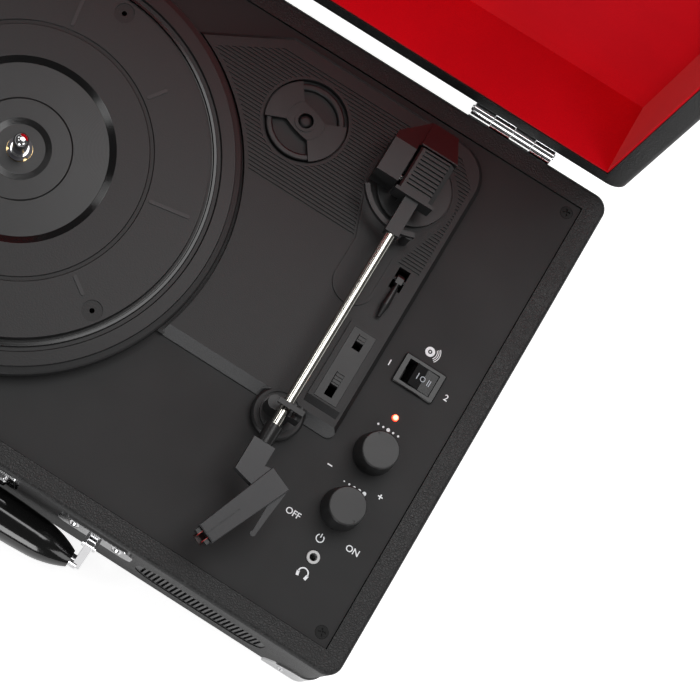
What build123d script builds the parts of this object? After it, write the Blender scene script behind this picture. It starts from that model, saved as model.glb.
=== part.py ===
from build123d import *
import math
import os

# Suitcase record player, millimetres.
# Every piece is drawn in the case frame: X to the right, Y to the rear, Z up, with the
# origin in the middle of the case at the rim where the closed lid meets the base.
# The last section opens the lid and stands the whole thing on its feet.

# ---------------------------------------------------------------- case and lid
CASE_W = 355.0
CASE_D = 255.0
CASE_H = 71.0
WALL = 10.0
CORNER_R = 7.5
WRAP_R = 2.0
FIT = 0.15
BOTTOM_T = 4.0
BLOCK = 19.0
BLOCK_H = 30.0
FOOT_R = 8.0
FOOT_TIP_R = 6.5
FOOT_H = 3.0
FOOT_INSET = 26.0
LID_H = 42.2
LID_TOP = 3.0
LID_GAP = 0.8
LID_EDGE_R = 3.0
LINING_T = 1.2
LID_OPEN_DEG = 95.0

# ---------------------------------------------------------------- corner caps
CAP_T = 0.8
CAP_GAP = 0.05
CAP_REACH = 21.0
CAP_SET = 4.0
RIVET_R = 2.2
RIVET_RISE = 1.0
RIVET_IN = 15.5

# ---------------------------------------------------------------- motor board and deck
BOARD_TOP = -1.2
BOARD_T = 3.0
BOARD_GAP = 0.3
SCREW_IN = 15.4
SCREW_HEAD_R = 2.9
SCREW_HEAD_H = 1.9
SCREW_R = 1.5
SCREW_L = 16.0
SCREW_SLOT = 0.8

DECK_TOP = 4.5
DECK_SKIN = 2.2
DECK_WALL = 2.5
DECK_RIGHT = 122.6
DECK_FRONT = -38.6
DECK_REAR = 112.9
DECK_REAR_LEFT_X = 13.6
DECK_LEFT_X = -25.0
DECK_LEFT_Y = 90.7
DECK_CORNER_R = 18.5
DECK_FRONT_R = 3.5
DECK_BEVEL = 4.9
DECK_EDGE = 1.8
RIB_PITCH = 1.7
RIB_SLOT = 0.85
RIB_DEPTH = 0.6
RIB_FRONT = 46.0
RIB_REAR = 106.8
RIB_RIGHT = 118.4
RIB_BORDER = 5.2

# ---------------------------------------------------------------- platter and drive
PLATTER_X = -63.6
PLATTER_Y = -4.5
PLATTER_R = 101.0
WELL_GAP = 1.6
FLOOR_R = 96.0
FLOOR_T = 2.2
BOARD_HOLE_R = 86.0
MAT_Z = 13.0
MAT_R = 85.6
LABEL_R = 43.5
LABEL_INNER_R = 40.2
LABEL_DROP = 0.9
HUB_R = 11.5
HUB_SLOPE_R = 14.5
HUB_DROP = 1.3
MID_GROOVE_R = 59.5
FINE_GROOVE_R = 23.7
RIM_GROOVE_Z = 9.3
RIM_BAND_Z = 10.7
SKIRT_T = 2.0
SKIRT_Z = 1.6
PLATTER_T = 2.4
MARK_ANGLE = 10.3
MARK_COUNT = 8
MARK_IN_R = 62.3
MARK_SHORT = 10.0
MARK_LONG = 19.5
MARK_W = 1.7
MARK_RISE = 0.5
DIMPLE_R = 80.0
DIMPLE_ANGLE = -34.0
DIMPLE_COUNT = 3
DIMPLE_HOLE_R = 1.2
DIMPLE_RING_R = 4.8
DIMPLE_DEPTH = 0.5
SPINDLE_R = 3.57
SPINDLE_TOP = 29.0
SPINDLE_NOSE_R = 3.0
SHAFT_R = 4.2
SPINDLE_FLANGE_R = 9.0
SPINDLE_FLANGE_T = 2.2
BUSH_R = 6.0
RUN_GAP = 0.05
WASHER_R = 7.5
WASHER_T = 0.5
CLIP_R = 5.8
CLIP_T = 0.8
CLIP_LIFT = 0.2
CLIP_NOTCH_R = 1.0
CLIP_NOTCHES = 3
BELT_RING_R = 56.0
BELT_RING_T = 2.0
BELT_T = 0.6
BELT_H = 4.0
BELT_Z = 4.0
PULLEY_R = 4.5
PULLEY_FLANGE = 1.0
PULLEY_H = 6.6
MOTOR_REACH = 68.0
MOTOR_ANGLE = -34.0
MOTOR_R = 13.0
MOTOR_H = 20.0
MOTOR_SHAFT_R = 1.0
MOTOR_EAR = 17.0

# ---------------------------------------------------------------- record adapter
ADAPTER_X = 38.0
ADAPTER_Y = 80.5
ADAPTER_R = 19.05
ADAPTER_GAP = 1.0
ADAPTER_T = 3.4
ADAPTER_SEAT = 1.0
ADAPTER_BORE_R = 3.65
ADAPTER_POST_R = 3.3
ADAPTER_BOSS_R = 5.2
ADAPTER_BOSS_RISE = 0.5
ADAPTER_FRAME_R = 18.4
ADAPTER_FRAME_IN_R = 15.2
ADAPTER_FRAME_T = 2.4
ADAPTER_FRAME_EDGE = 0.9
ADAPTER_PLATE_T = 1.4
ADAPTER_GROOVE_R = 9.4
ADAPTER_GROOVE_W = 0.5
ADAPTER_GROOVE_DEPTH = 0.3
ADAPTER_WINDOW_DEG = 100.0
ADAPTER_WINDOW_IN_R = 6.4
ADAPTER_WINDOW_SIDE_R = 9.0
ADAPTER_TURN = 74.0

# ---------------------------------------------------------------- tonearm
ARM_X = 96.4
PIVOT_Y = 79.0
PAD_R = 20.8
PAD_NECK = 10.4
PAD_NECK_Y = 46.0
PAD_END_Y = 28.0
PAD_RISE = 0.8
PAD_LIP = 1.6
YOKE_DISC_R = 17.0
YOKE_DISC_T = 2.4
YOKE_FLOAT = 0.3
YOKE_SHAFT_R = 4.0
YOKE_SHAFT_L = 12.0
YOKE_TOP = 28.0
WING_LEFT = 75.6
WING_RIGHT = 86.6
WING_FRONT = 72.0
WING_REAR = 93.6
HOOD_REAR = 107.4
HOOD_REAR_LEFT = 87.5
HOOD_REAR_RIGHT = 100.7
HOOD_RIGHT = 106.0
HOOD_FACE = 92.6
HOOD_DROP = 9.0
EAR_T = 3.0
EAR_Y = 9.0
TILT_Z = 14.0
TILT_PIN_R = 1.2
HEAD_BLOCK_LEFT = 88.0
HEAD_BLOCK_RIGHT = 105.4
HEAD_BLOCK_FRONT = 68.6
HEAD_BLOCK_REAR = 91.3
HEAD_BLOCK_Z = 18.0
HEAD_BLOCK_TOP = 29.0
HEAD_BLOCK_EDGE = 0.9
HEAD_BLOCK_SLOPE = 2.2
HEAD_BLOCK_SLOTS = 9
HEAD_BLOCK_PITCH = 2.1
HEAD_SLOT = 1.1
HEAD_SLOT_DEPTH = 1.1
KEEL_W = 9.6
KEEL_Z = 10.6
NOSE_W = 6.8
NOSE_Z = 20.2
NOSE_TOP = 27.4
NOSE_FRONT = 50.0
TUBE_R = 2.45
TUBE_BORE_R = 1.9
TUBE_Z = 24.0
TUBE_FRONT = -54.0
TUBE_SOCKET = 8.0
COLLAR_REAR = -51.0
COLLAR_FRONT = -60.2
COLLAR_R = 3.9
COLLAR_TIP_R = 3.6
NECK_W = 10.4
NECK_FRONT = -76.4
NECK_Z = 20.4
NECK_TOP = 27.2
SHELL_ANGLE = 22.2
SHELL_X = 110.5
SHELL_Y = -69.8
SHELL_L = 40.5
SHELL_REAR_W = 12.0
SHELL_FRONT_W = 9.6
SHELL_Z = 20.6
SHELL_TOP = 27.8
SHELL_SLIT_L = 18.0
SHELL_SLIT_W = 0.5
CARTRIDGE_W = 8.6
CARTRIDGE_L = 17.0
CARTRIDGE_Z = 16.6
CARTRIDGE_NOSE = 3.6
LUG_W = 2.0
LUG_OUT = 2.4
STYLUS_Z = 15.1
LIFT_FINGER_W = 2.6

# ---------------------------------------------------------------- cueing
CUE_R = 24.0
CUE_W = 2.2
CUE_H = 3.6
CUE_CLEAR = 0.3
CUE_FROM = -24.0
CUE_TO = 58.0
CUE_STEM_R = 2.0
LEVER_X = 111.9
LEVER_Y = 40.2
LEVER_Z = 6.0
LEVER_AXIS_Z = 3.6
LEVER_W = 3.2
LEVER_SLOT_W = 5.8
LEVER_SLOT_L = 10.9
LEVER_PIN_R = 0.9
GRIP_FROM = 5.0
GRIP_L = 15.5
GRIP_R = 1.9
GRIP_TIP_R = 0.9

# ---------------------------------------------------------------- arm rest
REST_Y = -41.5
REST_POD_R = 12.0
REST_RING_R = 9.8
REST_L = 4.2
REST_POST_W = 9.6
REST_BASE_R = 8.5
REST_BASE_T = 1.6
REST_SINK = 0.6
CRADLE_GAP = 0.1
CLIP_X = 102.6
CLIP_Z = 24.4
CLIP_HUB_R = 2.2
CLIP_PIN_R = 0.9
CLIP_STRAP = 1.3
CLIP_PLAY = 3.0
CLIP_W = 2.4

# ---------------------------------------------------------------- slide switches
SWITCH_X = 110.9
SWITCH_LEFT = 102.7
SWITCH_RIGHT = 119.4
SWITCH_FRONT = -30.2
SWITCH_REAR = 12.1
SWITCH_RISE = 1.5
PLATE_W = 11.2
PLATE_FRONT = -25.8
PLATE_REAR = 10.5
PLATE_T = 0.8
SLOT_W = 4.0
SPEED_FRONT = -23.4
SPEED_REAR = -11.3
STOP_FRONT = 1.1
STOP_REAR = 8.5
SLIDER_SIDE = 0.2
SPEED_KNOB_L = 6.4
STOP_KNOB_L = 3.6
SLIDER_RISE = 1.6
SLIDER_FLANGE = 1.0

# ---------------------------------------------------------------- right-hand controls
PANEL_X = 142.4
ROCKER_Y = 7.6
ROCKER_W = 21.0
ROCKER_D = 15.0
ROCKER_LIP = 1.8
ROCKER_BODY_H = 15.0
ROCKER_CAP_W = 11.4
ROCKER_CAP_D = 10.6
ROCKER_CAP_H = 9.0
ROCKER_CAP_DROP = 2.0
ROCKER_DISH = 0.5
ROCKER_PIN_R = 1.0
ROCKER_DEPTH = 4.4
ROCKER_TILT = 12.0
ROCKER_GAP = 0.3
LED_Y = -13.5
LED_R = 1.5
PITCH_Y = -32.7
VOLUME_Y = -61.6
KNOB_R = 9.7
KNOB_TOP_R = 8.6
KNOB_H = 14.6
KNOB_FLOAT = 0.5
KNOB_EDGE = 0.8
KNOB_DOT_R = 0.6
PITCH_DOT_DEG = 128.0
VOLUME_DOT_DEG = -41.0
POT_R = 8.0
POT_H = 8.0
POT_BUSH_R = 3.5
POT_SHAFT_R = 3.0
POT_NUT_R = 5.2
POT_NUT_H = 2.2
POT_SHAFT_L = 12.0
JACK_Y = -86.4
JACK_BORE_R = 1.8
JACK_RING_R = 3.0
JACK_RING_H = 0.9
JACK_BODY = 8.0
JACK_BODY_H = 12.0
JACK_DEPTH = 14.0

# ---------------------------------------------------------------- sound and electronics
GRILLE_LEFT = 80.5
GRILLE_RIGHT = 147.4
GRILLE_H = 34.0
GRILLE_Z = -36.0
GRILLE_R = 12.0
GRILLE_T = 1.6
GRILLE_SINK = 0.5
GRILLE_RIM = 1.6
GRILLE_PITCH = 2.32
GRILLE_SLOT = 1.2
SPEAKER_R = 25.0
CONE_R = 21.0
CONE_DEEP = 8.0
MAGNET_R = 15.0
MAGNET_H = 9.0
BASKET_T = 2.0
PCB_X = 62.0
PCB_Y = 20.0
PCB_W = 90.0
PCB_D = 62.0
PCB_T = 1.6
STANDOFF_H = 7.0
STANDOFF_R = 3.0

# ---------------------------------------------------------------- sockets at the rear
SOCKET_X = 74.0
SOCKET_Z = -44.0
SOCKET_PLATE_W = 62.0
SOCKET_PLATE_H = 24.0
SOCKET_PLATE_T = 1.5
SOCKET_PITCH = 16.0
RCA_R = 4.1
RCA_BORE_R = 1.6
RCA_L = 8.0
DC_R = 4.6
DC_BORE_R = 2.75
DC_PIN_R = 1.0
DC_L = 9.0

# ---------------------------------------------------------------- handle
HANDLE_X = 57.2
HANDLE_PLATE_W = 38.0
HANDLE_PLATE_H = 20.0
HANDLE_PLATE_T = 1.2
HANDLE_PLATE_Z = -18.0
HANDLE_EYE_Y = 3.4
HANDLE_EYE_Z = -27.0
HANDLE_EYE_R = 2.6
HANDLE_PIN_R = 1.2
HANDLE_EAR_T = 1.3
LINK_W = 3.7
LINK_T = 2.2
GRIP_OUT = 12.2
GRIP_Z = -42.0
GRIP_MID_R = 10.4
GRIP_SHOULDER_X = 33.0
GRIP_END_X = 53.4
GRIP_END_R = 4.2

# ---------------------------------------------------------------- latch
LATCH_W = 33.0
LATCH_TOP = -3.0
LATCH_H = 26.0
LATCH_T = 1.2
LATCH_BODY_W = 22.0
LATCH_BODY_H = 16.0
LATCH_BODY_OUT = 3.2
STAPLE_W = 9.0
STAPLE_H = 3.0
STAPLE_OUT = 3.0
BUTTON_W = 9.0
BUTTON_H = 4.0
BUTTON_OUT = 1.6
BUTTON_TRAVEL = 3.0
HASP_Z = 10.0
HASP_OUT = 3.9
HASP_W = 20.0
HASP_L = 27.0
HASP_T = 1.2
HASP_GAP = 0.5
HASP_KNUCKLE_R = 1.9
HASP_PIN_R = 0.9
HASP_PLATE_H = 14.0
HASP_FOLD_DEG = 172.0

# ---------------------------------------------------------------- hinges
HINGE_X = 122.0
HINGE_OUT = 3.7
HINGE_R = 3.1
HINGE_PIN_R = 1.4
HINGE_KNUCKLE = 10.8
HINGE_KNUCKLES = 4
HINGE_PLAY = 0.3
LEAF_T = 1.2
LEAF_H = 17.0

# ---------------------------------------------------------------- places worked out from the sizes above
FRONT = -CASE_D / 2
REAR = CASE_D / 2
BOTTOM = -CASE_H
BOARD_UNDER = BOARD_TOP - BOARD_T
FLOOR_TOP = BOARD_TOP + FLOOR_T
WELL_R = PLATTER_R + WELL_GAP
PAD_TOP = DECK_TOP + PAD_RISE
YOKE_Z = PAD_TOP + YOKE_FLOAT
MOTOR_X = PLATTER_X + MOTOR_REACH * math.cos(math.radians(MOTOR_ANGLE))
MOTOR_Y = PLATTER_Y + MOTOR_REACH * math.sin(math.radians(MOTOR_ANGLE))
CUE_TOP = NOSE_Z - CUE_CLEAR
STEM_X = ARM_X - CUE_R * math.sin(math.radians(CUE_FROM + 5))
STEM_Y = PIVOT_Y - CUE_R * math.cos(math.radians(CUE_FROM + 5))
SWITCH_TOP = DECK_TOP + SWITCH_RISE
HINGE_Y = REAR + HINGE_OUT
HINGE_Z = LID_GAP / 2
HASP_Y = FRONT - HASP_OUT
EYE_Y = FRONT - HANDLE_EYE_Y
GRIP_Y = FRONT - GRIP_OUT
ROCKER_PIVOT_Z = BOARD_TOP - 6.4
LATCH_MIDDLE = LATCH_TOP - LATCH_H / 2
STAPLE_Z = LATCH_MIDDLE + 2.5
BUTTON_Z = LATCH_MIDDLE - 4.4
HUB_TOP = MAT_Z - HUB_DROP
CLIP_TOP = HUB_TOP + CLIP_LIFT + CLIP_T


def block(x0, x1, y0, y1, z0, z1):
    """A box between two corners."""
    return Pos((x0 + x1) / 2, (y0 + y1) / 2, (z0 + z1) / 2) * Box(x1 - x0, y1 - y0, z1 - z0)


def post(x, y, z0, z1, radius):
    """An upright cylinder."""
    return Pos(x, y, (z0 + z1) / 2) * Cylinder(radius, z1 - z0)


def rod_x(x0, x1, y, z, radius):
    """A cylinder along X."""
    return Pos((x0 + x1) / 2, y, z) * Rot(0, 90, 0) * Cylinder(radius, x1 - x0)


def rod_y(x, y0, y1, z, radius):
    """A cylinder along Y."""
    return Pos(x, (y0 + y1) / 2, z) * Rot(90, 0, 0) * Cylinder(radius, y1 - y0)


def prism(face, z0, z1):
    """A flat outline drawn on XY, raised between two heights."""
    return Pos(0, 0, z0) * extrude(face, z1 - z0)


def outline(*points):
    """A closed face through the given XY points."""
    return make_face(Polyline(*points, close=True))


def slab(width, depth, radius, z0, z1):
    """A block round the case's middle with rounded upright edges."""
    return prism(RectangleRounded(width, depth, radius), z0, z1)


def both_sides(shape):
    """The right-hand shape and its mirror image on the left."""
    return [shape, mirror(shape, Plane.YZ)]


def joined(shapes):
    """Separate solids kept as one group."""
    return Compound(children=[s for shape in shapes for s in shape.solids()])


# ================================================================ case
def grille_outline(margin):
    """The grille's rounded rectangle on the front, as a face on XY, grown by a margin."""
    width = GRILLE_RIGHT - GRILLE_LEFT + 2 * margin
    return RectangleRounded(width, GRILLE_H + 2 * margin, GRILLE_R + margin)


def on_front(face, depth_out, depth_in):
    """Stand a face centred on the right grille and push it through the front wall's skin."""
    middle = (GRILLE_LEFT + GRILLE_RIGHT) / 2
    thick = extrude(face, depth_in + depth_out)
    return Pos(middle, FRONT - depth_out, GRILLE_Z) * Rot(90, 0, 0) * mirror(thick, Plane.XY)


def case_base():
    walls = slab(CASE_W, CASE_D, CORNER_R, BOTTOM, 0)
    rims = walls.faces().sort_by(Axis.Z)[-1].edges() + walls.faces().sort_by(Axis.Z)[0].edges()
    walls = fillet(rims, WRAP_R)
    inside_x = CASE_W / 2 - WALL
    inside_y = CASE_D / 2 - WALL
    walls -= block(-inside_x, inside_x, -inside_y, inside_y, BOTTOM - 1, 1)
    for sx in (-1, 1):
        for sy in (-1, 1):
            corner = Pos(sx * (inside_x - BLOCK / 2), sy * (inside_y - BLOCK / 2), BOARD_UNDER - BLOCK_H / 2)
            walls += corner * Box(BLOCK, BLOCK, BLOCK_H)
            screw_x = sx * (CASE_W / 2 - SCREW_IN)
            screw_y = sy * (CASE_D / 2 - SCREW_IN)
            walls -= post(screw_x, screw_y, BOARD_UNDER - SCREW_L, BOARD_UNDER + 1, SCREW_R + FIT)
    recess = on_front(grille_outline(FIT), 1, GRILLE_SINK + GRILLE_T + FIT)
    sound = rod_y((GRILLE_LEFT + GRILLE_RIGHT) / 2, FRONT - 1, FRONT + WALL + 1, GRILLE_Z, GRILLE_H / 2 - 2)
    for cut in both_sides(recess) + both_sides(sound):
        walls -= cut
    plate_x = SOCKET_PLATE_W / 2 - 4
    plate_z = SOCKET_PLATE_H / 2 - 4
    walls -= block(SOCKET_X - plate_x, SOCKET_X + plate_x, REAR - WALL - 1, REAR + 1,
                   SOCKET_Z - plate_z, SOCKET_Z + plate_z)
    return walls


def bottom_board():
    half_x = CASE_W / 2 - WALL - FIT
    half_y = CASE_D / 2 - WALL - FIT
    board = block(-half_x, half_x, -half_y, half_y, BOTTOM, BOTTOM + BOTTOM_T)
    for sx in (-1, 1):
        for sy in (-1, 1):
            x = PCB_X + sx * (PCB_W / 2 - 6)
            y = PCB_Y + sy * (PCB_D / 2 - 6)
            board += post(x, y, BOTTOM, BOTTOM + BOTTOM_T + STANDOFF_H, STANDOFF_R)
    return board


def feet():
    foot = Pos(0, 0, BOTTOM - FOOT_H / 2) * Cone(FOOT_TIP_R, FOOT_R, FOOT_H)
    places = [(sx * (CASE_W / 2 - FOOT_INSET), sy * (CASE_D / 2 - FOOT_INSET)) for sx in (-1, 1) for sy in (-1, 1)]
    return joined([Pos(x, y, 0) * foot for x, y in places])


def corner_caps():
    outer = slab(CASE_W + 2 * CAP_T, CASE_D + 2 * CAP_T, CORNER_R + CAP_T, BOTTOM - CAP_T, 0)
    inner = slab(CASE_W + 2 * CAP_GAP, CASE_D + 2 * CAP_GAP, CORNER_R + CAP_GAP, BOTTOM - CAP_GAP, 1)
    x = CASE_W / 2 - CAP_SET
    y = FRONT + CAP_SET
    cap = (outer - inner) & (Pos(x, y, BOTTOM + CAP_SET) * Sphere(CAP_REACH))
    rivet = Pos(CASE_W / 2 - RIVET_IN, FRONT - CAP_T, BOTTOM + CAP_SET + 6) * Rot(90, 0, 0)
    cap += rivet * Cone(RIVET_R, RIVET_R / 2, RIVET_RISE, align=(Align.CENTER, Align.CENTER, Align.MIN))
    side = Pos(CASE_W / 2 + CAP_T, FRONT + RIVET_IN, BOTTOM + CAP_SET + 6) * Rot(0, 90, 0)
    cap += side * Cone(RIVET_R, RIVET_R / 2, RIVET_RISE, align=(Align.CENTER, Align.CENTER, Align.MIN))
    fronts = both_sides(cap)
    return joined(fronts + [mirror(c, Plane.XZ) for c in fronts])


# ================================================================ motor board
def board_screw_places():
    x = CASE_W / 2 - SCREW_IN
    y = CASE_D / 2 - SCREW_IN
    return [(sx * x, sy * y) for sx in (-1, 1) for sy in (-1, 1)]


def countersink(x, y, top, gap):
    """The conical seat, or head, of a countersunk screw."""
    low = top - SCREW_HEAD_H
    cone = Cone(SCREW_R + gap, SCREW_HEAD_R + gap, SCREW_HEAD_H)
    return Pos(x, y, (top + low) / 2) * cone


def motor_board():
    half_x = CASE_W / 2 - WALL - BOARD_GAP
    half_y = CASE_D / 2 - WALL - BOARD_GAP
    board = block(-half_x, half_x, -half_y, half_y, BOARD_UNDER, BOARD_TOP)
    board -= post(PLATTER_X, PLATTER_Y, BOARD_UNDER - 1, BOARD_TOP + 1, BOARD_HOLE_R)
    board -= block(ADAPTER_X, SWITCH_RIGHT - 2, SWITCH_FRONT + 4, DECK_REAR - 12, BOARD_UNDER - 1, BOARD_TOP + 1)
    for x, y in board_screw_places():
        board -= post(x, y, BOARD_UNDER - 1, BOARD_TOP + 1, SCREW_R + FIT)
        board -= countersink(x, y, BOARD_TOP, FIT)
    body_x = ROCKER_W / 2 - 1
    body_y = ROCKER_D / 2 - 1
    board -= block(PANEL_X - body_x, PANEL_X + body_x, ROCKER_Y - body_y, ROCKER_Y + body_y,
                   BOARD_UNDER - 1, BOARD_TOP + 1)
    board -= post(PANEL_X, LED_Y, BOARD_UNDER - 1, BOARD_TOP + 1, LED_R + FIT)
    for y in (PITCH_Y, VOLUME_Y):
        board -= post(PANEL_X, y, BOARD_UNDER - 1, BOARD_TOP + 1, POT_BUSH_R + FIT)
    board -= post(PANEL_X, JACK_Y, BOARD_UNDER - 1, BOARD_TOP + 1, JACK_RING_R - 0.5 + FIT)
    return board


def board_screws():
    screws = []
    for x, y in board_screw_places():
        screw = post(x, y, BOARD_TOP - SCREW_L, BOARD_TOP - SCREW_HEAD_H, SCREW_R) + countersink(x, y, BOARD_TOP, 0)
        for turn in (0, 90):
            arm = Box(2 * SCREW_HEAD_R * 0.62, SCREW_SLOT, SCREW_SLOT * 2)
            screw -= Pos(x, y, BOARD_TOP) * Rot(0, 0, turn + 20) * arm
        screws.append(screw)
    return joined(screws)


# ================================================================ moulded deck
def deck_corners():
    """The moulding's outline before the platter well is taken out of it."""
    corners = outline(
        (PLATTER_X + WELL_R * 0.8, DECK_FRONT),
        (DECK_RIGHT, DECK_FRONT),
        (DECK_RIGHT, DECK_REAR),
        (DECK_REAR_LEFT_X, DECK_REAR),
        (DECK_LEFT_X, DECK_LEFT_Y),
        (DECK_LEFT_X, PLATTER_Y + WELL_R * 0.6),
    )
    right = corners.vertices().group_by(Axis.X)[-1].sort_by(Axis.Y)
    corners = fillet(right[0], DECK_FRONT_R)
    return fillet(corners.vertices().sort_by_distance((DECK_RIGHT, DECK_REAR, 0))[0], DECK_CORNER_R)


def deck_outline():
    return deck_corners() - Pos(PLATTER_X, PLATTER_Y) * Circle(WELL_R)


def pad_outline(margin):
    """The tonearm's teardrop pad: a disc that runs in straight sides down to a narrow round end."""
    x = ARM_X - 1
    neck = PAD_NECK + margin
    wide = PAD_R + margin
    reach = PIVOT_Y - PAD_NECK_Y
    turn = math.atan2(neck, reach) + math.acos(wide / math.hypot(neck, reach))
    side = wide * math.sin(turn)
    shoulder_y = PIVOT_Y - wide * math.cos(turn)
    return make_face([
        ThreePointArc((x + side, shoulder_y), (x, PIVOT_Y + wide), (x - side, shoulder_y)),
        Line((x - side, shoulder_y), (x - neck, PAD_NECK_Y)),
        Line((x - neck, PAD_NECK_Y), (x - neck, PAD_END_Y)),
        ThreePointArc((x - neck, PAD_END_Y), (x, PAD_END_Y - neck), (x + neck, PAD_END_Y)),
        Line((x + neck, PAD_END_Y), (x + neck, PAD_NECK_Y)),
        Line((x + neck, PAD_NECK_Y), (x + side, shoulder_y)),
    ])


def rib_field():
    """The area of fine ribs behind and beside the arm, as a face."""
    slope_x = DECK_REAR_LEFT_X + RIB_BORDER * 0.3
    field = outline(
        (PLATTER_X + WELL_R * 0.8, RIB_FRONT),
        (RIB_RIGHT, RIB_FRONT),
        (RIB_RIGHT, RIB_REAR - 12),
        (RIB_RIGHT - 12, RIB_REAR),
        (slope_x, RIB_REAR),
        (DECK_LEFT_X + RIB_BORDER, DECK_LEFT_Y - RIB_BORDER * 0.9),
        (DECK_LEFT_X + RIB_BORDER, PLATTER_Y + WELL_R * 0.75),
    )
    field -= Pos(PLATTER_X, PLATTER_Y) * Circle(WELL_R + 1.8)
    field -= Pos(ADAPTER_X, ADAPTER_Y) * Circle(ADAPTER_R + ADAPTER_GAP + 1.3)
    return field - pad_outline(1.2)


def rib_grooves():
    rows = int((RIB_REAR - RIB_FRONT) / RIB_PITCH)
    area = prism(rib_field(), DECK_TOP - RIB_DEPTH, DECK_TOP + 1)
    left = DECK_LEFT_X
    right = DECK_RIGHT
    bars = []
    for row in range(rows):
        y = RIB_FRONT + (row + 0.5) * RIB_PITCH
        bars.append(block(left, right, y - RIB_SLOT / 2, y + RIB_SLOT / 2, DECK_TOP - RIB_DEPTH, DECK_TOP + 1))
    return area & Compound(children=bars)


def front_wedge(y, top, run, drop, x0, x1):
    """The wedge cut away to make a bevel that faces the front."""
    side = make_face(Polyline((y - 1, top - drop), (y, top - drop), (y + run, top), (y + run, top + 1),
                              (y - 1, top + 1), close=True))
    return Pos(x0, 0, 0) * extrude(Plane.YZ * side, x1 - x0)


def deck_chassis():
    body = prism(deck_outline(), BOARD_TOP, DECK_TOP)
    top = body.faces().sort_by(Axis.Z)[-1]
    rim = top.edges().filter_by(lambda e: e.center().Y > DECK_FRONT + 1)
    rim = rim.filter_by(lambda e: math.hypot(e.center().X - PLATTER_X, e.center().Y - PLATTER_Y) > WELL_R + 0.5)
    body = chamfer(rim, DECK_EDGE)
    body -= front_wedge(DECK_FRONT, DECK_TOP, DECK_BEVEL, DECK_TOP - BOARD_TOP - 0.8, PLATTER_X + 80, DECK_RIGHT + 1)
    inner = offset(deck_outline(), -DECK_WALL, kind=Kind.INTERSECTION)
    hollow = prism(inner, BOARD_TOP - 1, DECK_TOP - DECK_SKIN)
    front_strip = DECK_FRONT + DECK_BEVEL + DECK_WALL
    hollow -= block(PLATTER_X, DECK_RIGHT, DECK_FRONT - 1, front_strip, BOARD_TOP - 2, DECK_TOP)
    body -= hollow
    body += well_floor()
    body += prism(pad_outline(0), DECK_TOP - DECK_SKIN, PAD_TOP)
    body -= prism(pad_outline(-PAD_LIP), PAD_TOP - PAD_RISE / 2, PAD_TOP + 1)
    body += arm_pod()
    body -= post(ARM_X, REST_Y, DECK_TOP - REST_SINK, DECK_TOP + 1, REST_RING_R)
    body += switch_pad()
    body += post(ARM_X, PIVOT_Y, YOKE_Z - YOKE_SHAFT_L, PAD_TOP - PAD_RISE / 2, YOKE_SHAFT_R * 2)
    body -= post(ARM_X, PIVOT_Y, YOKE_Z - YOKE_SHAFT_L - 1, PAD_TOP + 1, YOKE_SHAFT_R + RUN_GAP)
    body -= post(STEM_X, STEM_Y, BOARD_TOP - 1, PAD_TOP + 1, CUE_STEM_R + RUN_GAP)
    body -= rib_grooves()
    body = adapter_seat(body)
    body = lever_slot(body)
    for y0, y1 in ((SPEED_FRONT, SPEED_REAR), (STOP_FRONT, STOP_REAR)):
        body -= block(SWITCH_X - SLOT_W / 2, SWITCH_X + SLOT_W / 2, y0, y1, BOARD_TOP - 1, SWITCH_TOP + 1)
    return body


def well_floor():
    """The floor under the platter, with the bridge that ties it to the raised moulding."""
    floor = post(PLATTER_X, PLATTER_Y, BOARD_TOP, FLOOR_TOP, FLOOR_R)
    bridge = deck_corners() & (Pos(PLATTER_X, PLATTER_Y) * Circle(WELL_R + DECK_WALL / 2))
    floor += prism(bridge, BOARD_TOP, FLOOR_TOP)
    floor -= post(PLATTER_X, PLATTER_Y, BOARD_TOP - 1, FLOOR_TOP + 1, SHAFT_R + FIT)
    floor -= post(MOTOR_X, MOTOR_Y, BOARD_TOP - 1, FLOOR_TOP + 1, PULLEY_R + PULLEY_FLANGE + 0.6)
    for side in (-1, 1):
        x, y = motor_ear(side)
        floor -= post(x, y, BOARD_TOP - 1, FLOOR_TOP + 1, SCREW_R + FIT)
    return floor


def arm_pod():
    """The round boss at the front of the moulding that carries the arm rest."""
    pod = post(ARM_X, REST_Y, BOARD_TOP, DECK_TOP, REST_POD_R)
    return chamfer(pod.edges().sort_by(Axis.Z)[-1], 0.9)


def switch_pad():
    pad = block(SWITCH_LEFT, SWITCH_RIGHT, SWITCH_FRONT, SWITCH_REAR, DECK_TOP - DECK_SKIN, SWITCH_TOP)
    pad -= front_wedge(SWITCH_FRONT, SWITCH_TOP, 3.4, SWITCH_RISE, SWITCH_LEFT - 1, SWITCH_RIGHT + 1)
    half = PLATE_W / 2 + FIT
    return pad - block(SWITCH_X - half, SWITCH_X + half, PLATE_FRONT - FIT, PLATE_REAR + FIT,
                       SWITCH_TOP - PLATE_T, SWITCH_TOP + 1)


def adapter_seat(body):
    """A round cup sunk in the ribbed area, with a short post for the adapter's bore."""
    cup_r = ADAPTER_R + ADAPTER_GAP
    body += post(ADAPTER_X, ADAPTER_Y, BOARD_TOP, DECK_TOP, cup_r + 1.3)
    body -= post(ADAPTER_X, ADAPTER_Y, ADAPTER_SEAT, DECK_TOP + 1, cup_r)
    pin = post(ADAPTER_X, ADAPTER_Y, ADAPTER_SEAT - 0.1, DECK_TOP, ADAPTER_POST_R)
    return body + fillet(pin.edges().sort_by(Axis.Z)[-1], ADAPTER_POST_R * 0.6)


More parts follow.
